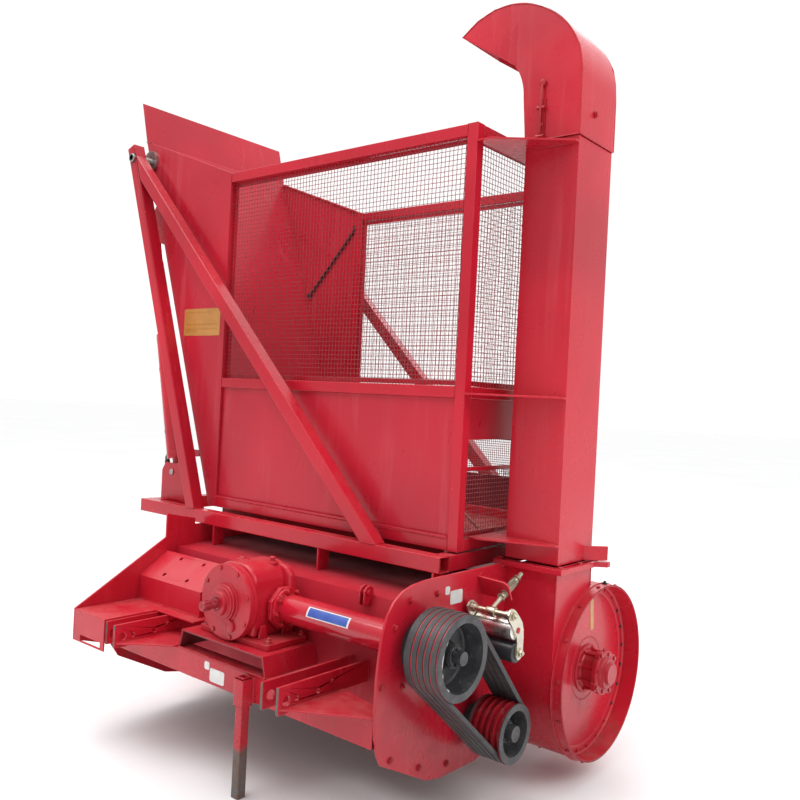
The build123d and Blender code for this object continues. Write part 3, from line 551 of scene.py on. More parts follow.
def patch(s, origin, u, v, w, h, lift=0.5, thick=0.7, wave=0.25, kind=0, cols=12, rows=8, corner=2.0):
    """A thin stuck-on foil with a slightly lifted, uneven surface and cut corners."""
    o, u, v = Vector(origin), Vector(u).normalized(), Vector(v).normalized()
    n = u.cross(v).normalized()
    top, low = [], []
    for j in range(rows + 1):
        for i in range(cols + 1):
            a, b = i / cols, j / rows
            x, y = a * w, b * h
            if (i in (0, cols)) and (j in (0, rows)):
                x += corner if i == 0 else -corner
                y += corner if j == 0 else -corner
            p = o + u * x + v * y
            z = lift + thick + wave * noise.noise(p * 0.06) * 2
            top.append(p + n * z)
            low.append(p - n * 0.4)
    m = (cols + 1) * (rows + 1)
    at = lambda i, j: j * (cols + 1) + i
    faces = []
    for j in range(rows):
        for i in range(cols):
            faces.append([at(i, j), at(i + 1, j), at(i + 1, j + 1), at(i, j + 1)])
            faces.append([m + at(i, j), m + at(i, j + 1), m + at(i + 1, j + 1), m + at(i + 1, j)])
    edge = [at(i, 0) for i in range(cols + 1)] + [at(cols, j) for j in range(1, rows + 1)]
    edge += [at(i, rows) for i in range(cols - 1, -1, -1)] + [at(0, j) for j in range(rows - 1, 0, -1)]
    for a, b in zip(edge, edge[1:] + edge[:1]):
        faces.append([a, m + a, m + b, b])
    s.add(top + low, faces, kind)


# ------------------------------------------------------ finishes on CAD nodes
finishes = {
    "side_plate_left": RED, "side_plate_right": RED_SMOOTH, "hood": RED_HOOD, "auger_trough": RED, "mast_seat": RED,
    "hitch_wing": RED, "front_beam": RED, "hitch_bracket_left": RED_BRACKET, "hitch_bracket_right": RED_BRACKET,
    "gearbox_seat": RED_SEAT, "gearbox_cover": RED_CAST, "cross_tube": RED_SHAFT_TUBE, "bearings": DARK,
    "tensioner_bracket": RED, "drive_guard": RED, "fan_casing": RED_SMOOTH, "fan_cover": RED_SMOOTH, "outlet_collar": RED,
    "base_beams": RED_TUBE, "base_members": RED_TUBE, "frame_supports": RED, "tip_posts": RED_TUBE, "tip_braces": RED_TUBE,
    "wheel_brackets": RED, "cylinder_feet": RED_BRACKET, "parking_leg": RED_LEG, "drive_pulley": PULLEY_BIG,
    "rotor_pulley": PULLEY_SMALL, "rotor_drum": DRUM, "flails": FLAIL, "wheel_rim_left": RED_CAST, "wheel_rim_right": RED_CAST,
    "cylinder_barrel_front": RED_SHAFT_TUBE, "cylinder_barrel_rear": RED_SHAFT_TUBE, "cylinder_rod_front": CHROME,
    "cylinder_rod_rear": CHROME, "bin_posts": RED_TUBE, "bin_rails": RED_TUBE, "bin_side_rails": RED_TUBE,
    "bin_front_panel": RED_PANEL, "bin_back_panel": RED_BACK, "bin_right_panel": RED_PANEL, "bin_floor": RED_IN_SHADED,
    "bin_left_wall": RED_PANEL, "bin_flap": RED_PANEL, "bin_gussets": RED_PANEL, "pivot_pins": SHAFT, "duct": RED_SMOOTH,
    "elbow": RED_SMOOTH, "duct_brackets": RED, "cylinder_clevises": RED_BRACKET,
}
edge_width = {"gearbox_cover": 3.0, "base_beams": 4.0, "base_members": 4.0, "tip_posts": 4.0, "tip_braces": 4.0,
              "bin_posts": 3.0, "bin_rails": 3.0, "bin_side_rails": 3.0, "duct": 2.6, "elbow": 1.6, "front_beam": 4.0,
              "parking_leg": 2.2, "fan_cover": 2.2, "drive_pulley": 0.9, "rotor_pulley": 0.9, "wheel_rim_left": 2.0,
              "wheel_rim_right": 2.0, "hitch_bracket_left": 1.6, "hitch_bracket_right": 1.6}
for name, obj in nodes.items():
    obj.data.materials.clear()
    obj.data.materials.append(finishes.get(name, RED))
    w = obj.modifiers.new("joined", "WELD")
    w.merge_threshold = 0.00002
    b = obj.modifiers.new("edge", "BEVEL")
    b.width = edge_width.get(name, 1.3) / 1000
    b.segments = 2
    b.limit_method = "ANGLE"
    b.angle_limit = math.radians(32)
    n = obj.modifiers.new("shade", "WEIGHTED_NORMAL")
    n.keep_sharp = False
    n.weight = 60

# -------------------------------------------------------------- mesh panels
X, Y, Z = Vector((1, 0, 0)), Vector((0, 1, 0)), Vector((0, 0, 1))


def woven(name, origin, u, v, width, height, body="bin", pitch=17.0, r=1.1):
    """Crimped square wire cloth: each wire passes over and under in turn, with small dents and bows."""
    s = Shape()
    o, u, v = Vector(origin), Vector(u), Vector(v)
    n = u.cross(v)
    cols, rows = round(width / pitch), round(height / pitch)
    pu, pv = width / cols, height / rows

    def bow(p):
        return n * (3.0 * noise.noise(p * 0.004) + 1.2 * noise.noise(p * 0.013))
    for i in range(1, cols):
        pts = []
        for j in range(rows + 1):
            side = 1 if (i + j) % 2 else -1
            y = min(max(j * pv, -2), height + 2) + (0 if 0 < j < rows else (-3 if j == 0 else 3))
            p = o + u * (i * pu) + v * y
            fade = min(1.0, j / 2, (rows - j) / 2)
            pts.append(p + n * (side * r * 0.95) + bow(p) * fade + u * (0.7 * noise.noise(p * 0.03)))
        pipe(s, pts, r, 5)
    for j in range(1, rows):
        pts = []
        for i in range(cols + 1):
            side = -1 if (i + j) % 2 else 1
            x = i * pu + (0 if 0 < i < cols else (-3 if i == 0 else 3))
            p = o + u * x + v * (j * pv)
            fade = min(1.0, i / 2, (cols - i) / 2)
            pts.append(p + n * (side * r * 0.95) + bow(p) * fade + v * (0.7 * noise.noise(p * 0.03)))
        pipe(s, pts, r, 5)
    return make(s, name, body, WIRE, angle=60, stands_for=("bin_mesh",))


woven("wire_front", (-666, 325, 1331), X, Z, 1216, 829)
woven("wire_back", (-666, 1155, 1331), X, Z, 1216, 829)
woven("wire_right", (574, 345, 1331), Y, Z, 790, 829)
woven("wire_right_low", (574, 345, 824), Y, Z, 790, 223, pitch=15.0)
woven("wire_window", (0, 1160, 967), X, Z, 260, 157, pitch=10.0, r=1.3)

# flat bars that clamp the wire's edges on the inside of the rails
s = Shape()
for y in (331, 1146):
    d = 3
    for z0, z1 in ((1333, 1351), (2141, 2158)):
        block(s, -664, 548, y, y + d, z0, z1)
    for x0, x1 in ((-664, -646), (530, 548)):
        block(s, x0, x1, y, y + d, 1352, 2140)
for z0, z1 in ((1333, 1351), (2141, 2158)):
    block(s, 566, 569, 347, 1133, z0, z1)
for y0, y1 in ((347, 365), (1115, 1133)):
    block(s, 566, 569, y0, y1, 1352, 2140)
    block(s, 566, 569, y0, y1, 845, 1045)
block(s, 566, 569, 366, 1114, 826, 842)
block(s, 566, 569, 347, 1133, 1047, 1062)
make(s, "wire_clamp_bars", "bin", RED_TUBE, bevel=0.8)

# ------------------------------------------------------------------ V-belts
PY, PZ, RY, RZ, BIG, SMALL = 8.0, 558.0, 313.0, 261.0, 122.0, 91.5
FIRST = (722 + 841 - 4 * 22) / 2


def loop_path(r1, r2, step=6.0):
    """Points round both pulleys, at radii r1 and r2, with the outward normals."""
    dy, dz = RY - PY, RZ - PZ
    dist, head = math.hypot(dy, dz), math.atan2(dz, dy)
    lean = math.acos((r1 - r2) / dist)
    out = []

    def arc(cy, cz, r, a0, a1):
        n = max(8, int(abs(a1 - a0) * r / step))
        for i in range(n):
            a = a0 + (a1 - a0) * i / n
            out.append(((cy + r * math.cos(a), cz + r * math.sin(a)), (math.cos(a), math.sin(a))))

    def run(a, c0, r0, c1, r1_):
        p = (c0[0] + r0 * math.cos(a), c0[1] + r0 * math.sin(a))
        q = (c1[0] + r1_ * math.cos(a), c1[1] + r1_ * math.sin(a))
        n = 14
        for i in range(n):
            t = i / n
            out.append(((p[0] + (q[0] - p[0]) * t, p[1] + (q[1] - p[1]) * t), (math.cos(a), math.sin(a))))
    up, down = head + lean, head - lean
    run(up, (PY, PZ), r1, (RY, RZ), r2)
    arc(RY, RZ, r2, up, down)
    run(down, (RY, RZ), r2, (PY, PZ), r1)
    arc(PY, PZ, r1, down, up - 2 * math.pi)
    return out


s = Shape()
section = [(-8.2, 1.2), (-7.6, 2.0), (7.6, 2.0), (8.2, 1.2), (5.4, -11.0), (-5.4, -11.0)]
for g in range(5):
    xc = FIRST + 22 * g
    path = loop_path(BIG, SMALL)
    n = len(path)
    verts, faces = [], []
    for i, ((y, z), (ny, nz)) in enumerate(path):
        flap = 0.7 * noise.noise(Vector((y * 0.01, z * 0.01, g * 3.1)))
        for a, b in section:
            verts.append((xc + a + flap, y + ny * b, z + nz * b))
    m = len(section)
    for i in range(n):
        j = (i + 1) % n
        for k in range(m):
            l = (k + 1) % m
            faces.append([i * m + k, j * m + k, j * m + l, i * m + l])
    s.add(verts, faces)
make(s, "v_belts", "root", BELT, angle=40, stands_for=("drive_belts",))

# pulley hubs: bush screws, key, washer and nut, and a chipped white paint mark
for body, cy, cz, rr, nm in (("cross_shaft", PY, PZ, 99, "big"), ("rotor", RY, RZ, 70, "small")):
    s = Shape()
    lathe(s, (811, cy, cz), X, [(0, -1), (31, -1), (31, 4), (29, 6), (0, 6)], 36)
    for p in ring_of((817, cy, cz), X, 24, 3, 0.4):
        lathe(s, p, X, [(0, -1), (5.2, -1), (5.2, 5), (4.4, 6), (2.9, 6), (2.9, 2.5), (0, 2.5)], 12)
    lathe(s, (817, cy, cz), X, [(0, -1), (17.5, -1), (17.5, 2.5), (16, 3.2), (0, 3.2)], 30)
    lathe(s, (820, cy, cz), X, [(0, -1), (15.0, -1), (15.8, 1), (15.8, 14), (13.6, 16), (0, 16)], 6, 0, 0.3)
    lathe(s, (836, cy, cz), X, [(0, -1), (9.5, -1), (9.5, 4), (8.5, 5), (0, 5)], 20)
    block(s, 812, 821, cy - 3.5, cy + 3.5, cz + 17, cz + 24)
    # web stiffening ring and casting fillet at the dish's floor
    lathe(s, (779, cy, cz), X, [(rr - 7, -0.5), (rr - 7, 8), (rr - 9, 3.0), (rr - 14, 0.8), (rr - 15, -0.5)], 48, closed=True)
    lathe(s, (779, cy, cz), X, [(33, -0.5), (33, 9), (36, 3.4), (42, 0.8), (43, -0.5)], 48, closed=True)
    make(s, f"pulley_hub_{nm}", body, DARK, angle=35)
s = Shape()
for a0, a1, r0, r1 in ((2.75, 3.25, 97.4, 101.6), (3.35, 3.50, 97.2, 100.2), (3.9, 4.06, 97.4, 100.4), (2.45, 2.6, 97.8, 100.0)):
    k = 16
    verts = []
    for i in range(k + 1):
        a = a0 + (a1 - a0) * i / k
        w = 1.2 * noise.noise(Vector((a * 9, r0, 2)))
        taper = math.sin(math.pi * min(1, max(0, i / k))) ** 0.6
        mid = (r0 + r1) / 2
        half = (r1 - r0) / 2 * taper + 0.2
        for r, x in ((mid - half + w * 0.4, 840.8), (mid + half + w, 841.5)):
            verts.append((x + 0.1, PY + r * math.cos(a), PZ + r * math.sin(a)))
        for r, x in ((mid - half + w * 0.4, 840.2), (mid + half + w, 840.4)):
            verts.append((x, PY + r * math.cos(a), PZ + r * math.sin(a)))
    faces = []
    for i in range(k):
        o, p = i * 4, (i + 1) * 4
        faces += [[o, p, p + 1, o + 1], [o + 2, o + 3, p + 3, p + 2], [o, o + 2, p + 2, p], [o + 1, p + 1, p + 3, o + 3]]
    faces += [[0, 1, 3, 2], [k * 4, k * 4 + 2, k * 4 + 3, k * 4 + 1]]
    s.add(verts, faces)
make(s, "pulley_paint_mark", "cross_shaft", CHIPPED)

# ----------------------------------------------------------- belt tensioner
TIE, STEELR, BLACKR = (243.0, 640.0), (280.0, 590.0), (292.0, 520.0)
X0, X1 = 706.0, 846.0
s = Shape()      # 0 yellow zinc, 1 turned steel, 2 black, 3 pale zinc, 4 red
lathe(s, (X0 - 4, *TIE), X, [(0, 0), (9.5, 0), (9.5, X1 - X0 + 8), (0, X1 - X0 + 8)], 26, 0)
lathe(s, (X0, *TIE), X, [(9.4, 0), (14, 0), (14, 12), (12.5, 14), (9.4, 14)], 26, 0)
lathe(s, (X1 - 16, *TIE), X, [(9.4, 0), (13, 0), (13, 16), (9.4, 16)], 26, 0)
lathe(s, (X0 + 54, *TIE), X, [(9.4, 0), (14.5, 1), (15.5, 4), (15.5, 28), (14.5, 31), (9.4, 32)], 26, 0)
lathe(s, (X0, *STEELR), X, [(0, 1), (28.5, 1), (30.6, 3), (31, 6), (31, 134), (30.6, 137), (28.5, 139), (0, 139)], 64, 1)
for x in (X0 + 12, X1 - 12):
    lathe(s, (x, *STEELR), X, [(30.6, -1.2), (31.2, -0.8), (31.2, 0.8), (30.6, 1.2)], 64, 1)
lathe(s, (X0, *BLACKR), X, [(0, 1), (31.5, 1), (33.4, 3), (34, 6), (34, 134), (33.4, 137), (31.5, 139), (0, 139)], 64, 2)
lathe(s, (679, *STEELR), X, [(0, 0), (14, 0), (14, 19), (0, 19)], 28, 0)
lathe(s, (679, *STEELR), X, [(0, 0), (26, 0), (26, 4), (24, 6), (0, 6)], 36, 4)
shape_plate = [(222, 645), (228, 655), (236, 661), (245, 662), (262, 653), (286, 631), (303, 612), (312, 588), (315, 560),
               (314, 524), (310, 510), (302, 500), (292, 497), (282, 501), (276, 511), (277, 530), (279, 550), (274, 570),
               (262, 590), (244, 609), (229, 624), (223, 634)]
for x in (X0 - 8, X1):
    px(s, x, x + 6, shape_plate, 3)
for c, size in ((TIE, 13), (BLACKR, 13)):
    bolt(s, (X1 + 6, *c), X, size, kind=0, thread=5)
    bolt(s, (X0 - 8, *c), -X, size * 0.9, kind=0)
lathe(s, (X1 + 6, *STEELR), X, [(0, -0.4), (9.5, -0.4), (9.5, 1.6), (8.0, 2.4), (0, 2.4)], 22, 4)
# the sprung rod: screw thread, lock nuts, cup washers and the coil spring
ang = math.atan2(92, 177)
D = Vector((0, math.cos(ang), math.sin(ang)))
rod0 = Vector((770, *TIE))


def threaded(s, origin, axis, r, length, pitch=2.2, kind=0, segs=14):
    u, v, n = basis(axis)
    o = Vector(origin)
    turns = max(1, int(length / pitch))
    rows = turns * 2 + 1
    prof = [(0, 0)] + [(r if i % 2 else r - 1.1, i * length / (rows - 1)) for i in range(rows)] + [(0, length)]
    lathe(s, o, n, prof, segs, kind)


lathe(s, rod0, D, [(0, 8), (7, 8), (7, 70), (0, 70)], 20, 0)
threaded(s, rod0 + D * 69, D, 7.0, 131, kind=0)
for t in (70, 156, 168):
    bolt(s, rod0 + D * t, D, 12.5, washer=True, kind=0)
bolt(s, rod0 + D * 90.5, -D, 12.5, washer=True, kind=0)
lathe(s, rod0 + D * 99, D, [(7.4, 0), (16, 0), (16, 3), (7.4, 3)], 24, 0)
lathe(s, rod0 + D * 151, D, [(7.4, 0), (16, 0), (16, 3), (7.4, 3)], 24, 0)
coil = []
turns, c0, c1 = 7.5, 103, 150
u, v, _ = basis(D)
for i in range(int(turns * 18) + 1):
    a = 2 * math.pi * i / 18
    t = c0 + (c1 - c0) * i / (turns * 18)
    coil.append(rod0 + D * t + u * 12.2 * math.cos(a) + v * 12.2 * math.sin(a))
pipe(s, coil, 2.2, 8, 0)
make(s, "belt_tensioner", "root", [ZINC, STEEL, ROLLER, ZINC_PALE, RED_BOLT], angle=32,
     stands_for=("tensioner_rollers",))

# ---------------------------------------------------------------- gearbox
def arc_points(cx, cz, r, a0, a1, n):
    return [(cx + r * math.cos(math.radians(a0 + (a1 - a0) * i / n)), cz + r * math.sin(math.radians(a0 + (a1 - a0) * i / n)))
            for i in range(n + 1)]


s = Shape()
GX, GZ = -12.0, 577.0
lathe(s, (GX, -128, GZ), -Y, [(0, -20), (120, -20), (123, -14), (126, -10), (126, 0), (0, 0)], 96)
# body between the barrel and the side flange, its rounded top and the filler boss
s2 = Shape()
py(s2, -112, 50, [(-124, 468), (-130, 570)] + arc_points(-34, 606, 98, 168, 100, 8) + [(4, 705)]
   + arc_points(14, 630, 75, 82, 14, 8) + [(90, 560), (92, 468)])
py(s2, 18, 50, [(30, 468), (30, 700), (88, 692), (112, 668), (116, 640), (116, 468)])
make(s2, "gearbox_body", "root", RED_CAST, bevel=13, segments=5, stands_for=("gearbox",))
lathe(s, (80, PY, PZ), X, [(0, -3), (66, -3), (62, 10), (62, 22), (0, 22)], 48)
lathe(s, (100, PY, PZ), X, [(0, -2), (72, -2), (75, 0), (75, 13), (73, 15.5), (0, 15.5)], 8, 0, math.pi / 8)
make(s, "gearbox_barrel", "root", RED_CAST, angle=34, bevel=1.4)
s = Shape()
pz(s, 450, 470, [(-170, -120), (-162, -128), (172, -128), (180, -120), (180, 42), (172, 50), (-162, 50), (-170, 42)])
for x in (-146, 106):
    for y in (-84, 18):
        px(s, x - 4, x + 4, [(y - 20, 469), (y + 20, 469), (y + 10, 512), (y - 10, 512)])
lathe(s, (-50, -50, 698), Z, [(0, 0), (22, 0), (21, 8), (0, 8)], 30)
lathe(s, (40, 4, 694), Z, [(0, 0), (20, 0), (19, 10), (0, 10)], 26)
make(s, "gearbox_feet", "root", RED_CAST, bevel=2.5)
s = Shape()
bolt(s, (-50, -50, 703), Z, 13, washer=False)
lathe(s, (40, 4, 702), Z, [(0, 0), (11, 0), (11, 4), (7, 6), (7, 10), (11, 11), (12, 15), (8, 18), (0, 18)], 20)
for p in ring_of((GX, -150, GZ), -Y, 114, 8, 0.28):
    bolt(s, p, -Y, 9, washer=False)
for p in ring_of((128, PY, PZ), X, 59, 8, 0.2):
    bolt(s, p, X, 9.5, washer=True, thread=4)
for x in (-150, 163):
    for y in (-108, 34):
        bolt(s, (x, y, 470), Z, 13, thread=8)
make(s, "gearbox_bolts", "root", RED_BOLT, angle=30)
s = Shape()
lathe(s, (GX, -150, GZ), -Y, [(60.2, -0.5), (66, -0.5), (66, 2.5), (63, 4), (60.2, 4)], 56, closed=True)
lathe(s, (GX, -164, GZ), -Y, [(40.2, -0.5), (54, -0.5), (54, 4), (50, 7), (44, 7), (40.2, 10)], 48, closed=True)
# the off-centre boss on the disc
lathe(s, (GX + 34, -150, GZ - 74), -Y, [(0, -0.5), (20, -0.5), (19, 7), (14, 9), (0, 9)], 28)
prism(s, (GX + 8, -150, GZ - 50), (1, 0, -0.9), (0, -1, 0), (0.9, 0, 1), [(-14, -0.5), (30, -0.5), (26, 8), (-14, 14)], 13)
make(s, "gearbox_cap", "root", RED_CAST, angle=34, bevel=0.8)
# splined drive shaft end
s = Shape()
u, v, n = basis(-Y)
prof = []
for i in range(6):
    for a, r in ((-0.27, 14.2), (-0.225, 17.3), (0.225, 17.3), (0.27, 14.2)):
        prof.append((i * math.pi / 3 + a, r))
rings = []
levels = [(130, 20.3), (189, 20.3), (190.2, 14.3), (196, 14.3), (196.4, 17.3), (206, 17.3), (207, 14.0), (215, 14.0), (216, 17.3),
          (243, 17.3), (246, 15.2)]
verts, faces = [], []
for h, rmax in levels:
    for a, r in prof:
        rr = rmax if rmax > 18 else min(r, rmax)
        verts.append(Vector((GX, 0, GZ)) + n * h + u * rr * math.cos(a) + v * rr * math.sin(a))
m = len(prof)
for i in range(len(levels) - 1):
    for k in range(m):
        l = (k + 1) % m
        faces.append([i * m + k, i * m + l, (i + 1) * m + l, (i + 1) * m + k])
faces += [list(range(m))[::-1], [(len(levels) - 1) * m + k for k in range(m)]]
s.add(verts, faces)
lathe(s, (GX, -246, GZ), -Y, [(0, -0.6), (4.5, -0.6), (4.5, 0.0), (3, 0.0), (0, -1.4)], 16)
make(s, "splined_shaft", "pto", SHAFT_RED, angle=30, bevel=0.4, stands_for=("pto_shaft",))

# -------------------------------------------------------------- fan cover
s = Shape()
FY, FZ, FACE = 776.0, 366.0, 840.0
# pressed ring round the set-back face, its stiffening flange and the rolled lip of the rim
lathe(s, (FACE, FY, FZ), X, [(262, -0.5), (268, 3), (288, 3), (294.6, 9), (294.6, -0.5)], 120, closed=True)
lathe(s, (FACE, FY, FZ), X, [(104, -0.5), (108, 1.8), (112, -0.5)], 90, closed=True)
lathe(s, (903, FY, FZ), X, [(295, 0), (300.6, 0), (301.4, 2), (300.6, 4), (296, 4), (294.4, 2)], 140, closed=True)
# bearing housing: base ring, ribbed neck, flange with lugs, stepped cap
lathe(s, (FACE, FY, FZ), X, [(0, 0), (84, 0), (84, 4), (80, 7), (66, 8), (61, 13), (60.5, 54), (0, 54)], 64)
for i in range(8):
    a = math.pi / 8 + i * math.pi / 4
    c, d = math.cos(a), math.sin(a)
    prism(s, Vector((FACE + 6, FY, FZ)) + Vector((0, c, d)) * 50 - Vector((0, -d, c)) * 5, (0, c, d), (1, 0, 0), (0, -d, c),
          [(0, 0), (30, 0), (20, 10), (19, 40), (24, 51), (0, 51)], 10)
for i in range(4):
    a = 0.5 + i * math.pi / 2
    c, d = math.cos(a), math.sin(a)
    prism(s, Vector((FACE + 57, FY, FZ)) + Vector((0, c, d)) * 40 - Vector((0, -d, c)) * 18, (0, c, d), (0, -d, c), (1, 0, 0),
          [(0, 0), (40, 2), (48, 12), (48, 24), (40, 34), (0, 36)], 16)
lathe(s, (FACE + 56, FY, FZ), X, [(0, 0), (72, 0), (75, 3), (75, 15), (72, 18.5), (0, 18.5)], 64)
lathe(s, (FACE + 74, FY, FZ), X, [(0, -1), (54, -1), (52, 8), (47, 14), (38, 15), (37, 22), (34, 25), (0, 25)], 48)
make(s, "fan_hub", "root", RED_CAST, angle=34, bevel=1.0)
s = Shape()
for p in ring_of((FACE + 74, FY, FZ), X, 76, 4, 0.5):
    bolt(s, p, X, 9.5, washer=False, kind=0)
for p in ring_of((FACE + 74.5, FY, FZ), X, 63, 4, 0.5 + math.pi / 4):
    bolt(s, p, X, 7.5, washer=False, kind=0)
for p in ring_of((FACE + 3, FY, FZ), X, 281, 24, 0.1):
    if p[1] <= FY + 205:
        bolt(s, p, X, 7.0, washer=False, kind=0)
for i in range(14):
    a = 0.35 + i * math.pi / 7
    bolt(s, (890, FY + 300 * math.cos(a), FZ + 300 * math.sin(a)), (0, math.cos(a), math.sin(a)), 7.0, kind=0)
lathe(s, (FACE + 65, FY, FZ + 73), (0, 0, 1), [(0, 0), (3.4, 0), (3.4, 6), (2.2, 8), (3, 11), (0, 13)], 12, 0)
make(s, "fan_bolts", "root", RED_BOLT, angle=30)
s = Shape()
bolt(s, (884, 800, 665), (0, 0.08, 1), 9, kind=0, thread=5)
for p in ring_of((FACE + 3, FY, FZ), X, 281, 24, 0.1):
    if p[1] > FY + 205:
        bolt(s, p, X, 7.0, washer=False, kind=0)
make(s, "fan_rim_bolts", "root", DARK, angle=30)
# rolled flange rings of the fan casing and the seam on its neck
s = Shape()
for x in (682, 870):
    pts = []
    for i in range(161):
        a = -math.pi / 2 - 2.05 + i * 4.55 / 160
        k = 300.5 if x == 682 else 303.5
        pts.append((x, FY + k * math.cos(a), FZ + k * math.sin(a)))
    pipe(s, [p for p in pts if not (470 < p[1] < 724 and p[2] > FZ)] if x == 682 else pts, 2.6, 8)
bead(s, (868, 476, 600), (868, 476, 738), 2.6)
bead(s, (868, 718, 668), (868, 718, 738), 2.6)
bead(s, (690, 475.5, 739), (866, 475.5, 739), 2.8)
bead(s, (869, 482, 739.5), (869, 716, 739.5), 2.8)
make(s, "fan_seams", "root", RED_WELD, angle=60)
STRIP_Y, STRIP_Z = 20.0, 128.0
s = Shape()
patch(s, (840.2, FY + STRIP_Y, FZ + STRIP_Z), (0, 1, 0.0), (0, -0.10, 1), 24, 112, lift=0.2, thick=0.5, cols=4, rows=20)
make(s, "fan_strip", "root", STRIP)

# ------------------------------------------------------------- labels, blank
s = Shape()
patch(s, (-944, 304.6, 1511), (1, 0, 0), (0, 0, 1), 250, 118, lift=0.2, thick=0.6, cols=24, rows=12)
make(s, "label_bin", "bin", YELLOW)
s = Shape()
for z, x1 in ((1612, -760), (1560, -712), (1540, -712), (1530, -850)):
    block(s, -930, x1, 302.6, 303.6, z, z + 2.2)
make(s, "label_bin_rules", "bin", INK)
s = Shape()
patch(s, (-46, -171.4, 312), (1, 0, 0), (0, 0, 1), 74, 44, lift=0.2, thick=0.5)
patch(s, (-76, -171.4, 346), (1, 0, 0), (0, 0, 1), 26, 26, lift=0.2, thick=0.5, cols=5, rows=5)
make(s, "label_beam", "root", WHITE)
s = Shape()
patch(s, (679.4, 158, 654), (0, 1, 0), (0, -0.02, 1), 64, 42, lift=0.2, thick=0.5)
patch(s, (679.4, 130, 688), (0, 1, 0), (0, -0.02, 1), 24, 25, lift=0.2, thick=0.5, cols=5, rows=5)
make(s, "label_plate", "root", WHITE)


def wrap(name, radius, x0, x1, a0, a1, mat, thick):
    """A label that bends round the shaft tube, from angle a0 to a1 about it."""
    s = Shape()
    cols, rows = 30, 14
    top, low = [], []
    for j in range(rows + 1):
        a = a0 + (a1 - a0) * j / rows
        for i in range(cols + 1):
            x = x0 + (x1 - x0) * i / cols
            k = radius + thick + 0.12 * noise.noise(Vector((x * 0.05, a * 5, 1)))
            top.append((x, PY + k * math.cos(a), PZ + k * math.sin(a)))
            low.append((x, PY + (radius - 0.4) * math.cos(a), PZ + (radius - 0.4) * math.sin(a)))
    m = (cols + 1) * (rows + 1)
    at = lambda i, j: j * (cols + 1) + i
    faces = []
    for j in range(rows):
        for i in range(cols):
            faces.append([at(i, j), at(i, j + 1), at(i + 1, j + 1), at(i + 1, j)])
            faces.append([m + at(i, j), m + at(i + 1, j), m + at(i + 1, j + 1), m + at(i, j + 1)])
    edge = [at(i, 0) for i in range(cols + 1)] + [at(cols, j) for j in range(1, rows + 1)]
    edge += [at(i, rows) for i in range(cols - 1, -1, -1)] + [at(0, j) for j in range(rows - 1, 0, -1)]
    for a, b in zip(edge, edge[1:] + edge[:1]):
        faces.append([a, b, m + b, m + a])
    s.add(top + low, faces)
    return make(s, name, "root", mat, angle=60)


wrap("label_tube_border", 48, 256, 440, 2.28, 3.00, WHITE, 0.45)
wrap("label_tube", 48.3, 263, 433, 2.35, 2.93, BLUE, 0.5)

# ---------------------------------------------------- bolts over the machine
s = Shape()
# side plate, right: hood and trough flange bolts
for y, z in ((-104, 631), (-96, 252), (-60, 452), (-150, 470), (-40, 700), (90, 700), (420, 200), (520, 240), (180, 160), (40, 190)):
    bolt(s, (679, y, z), X, 10, thread=3)
for y, z in ((-300, 400), (-180, 330), (30, 180), (200, 150), (400, 170), (600, 215), (800, 190), (940, 300), (960, 450), (60, 640),
             (300, 690), (560, 700), (820, 700)):
    bolt(s, (-650, y, z), -X, 10, thread=3)
for cy, cz, r, b in ((PY, PZ, 68, 4), (RY, RZ, 46, 4)):
    for p in ring_of((705, cy, cz), X, r, b, math.pi / 4):
        pass
for x in (-560, -430, -300, -170, 230, 360, 490, 610):
    bolt(s, (x, 61.5, 352), -Y, 9)
# hitch bracket plates: bolts through the small rear holes
for x in (-378, 450):
    bolt(s, (x, -110, 424), X, 9)
for x in (-560, 560):
    for y in (300, 700, 1100):
        bolt(s, (x + 8, y, 751), -Z, 9) if False else None
# fan casing to side plate
for a in (-2.6, -2.1, -1.6, -1.1, -0.6, -0.1, 0.35):
    bolt(s, (679, FY + 320 * math.cos(a), FZ + 320 * math.sin(a)), X, 9) if math.hypot(320 * math.cos(a), 0) < 200 else None
make(s, "body_bolts", "root", RED_BOLT, angle=30)

s = Shape()
for x in (640, 896):
    for y in (470, 600, 718):
        bolt(s, (x + (12 if x < 700 else -12), y, 759), Z, 9) if not (670 < x < 868) else None
make(s, "collar_bolts", "root", RED_BOLT, angle=30)

s = Shape()
for y in (205, 1275):
    pass
lathe(s, (-1275, 206, 2330), -Y, [(0, -1), (13, -1), (13, 1.5), (0, 1.5)], 20)
for y, n in ((206, -Y), (1274, Y)):
    lathe(s, (-1275, y, 2330), n, [(0, -0.5), (19.5, -0.5), (18, 1.5), (0, 1.5)], 30)
make(s, "pin_faces", "bin", SHAFT, angle=30)
s = Shape()
for y in (350, 1130):
    for dy, n in ((-36, -Y), (36, Y)):
        lathe(s, (-1000, y + dy, 900), n, [(0, -0.5), (13.5, -0.5), (12.5, 1), (0, 1)], 24)
make(s, "foot_pins", "root", SHAFT, angle=30)

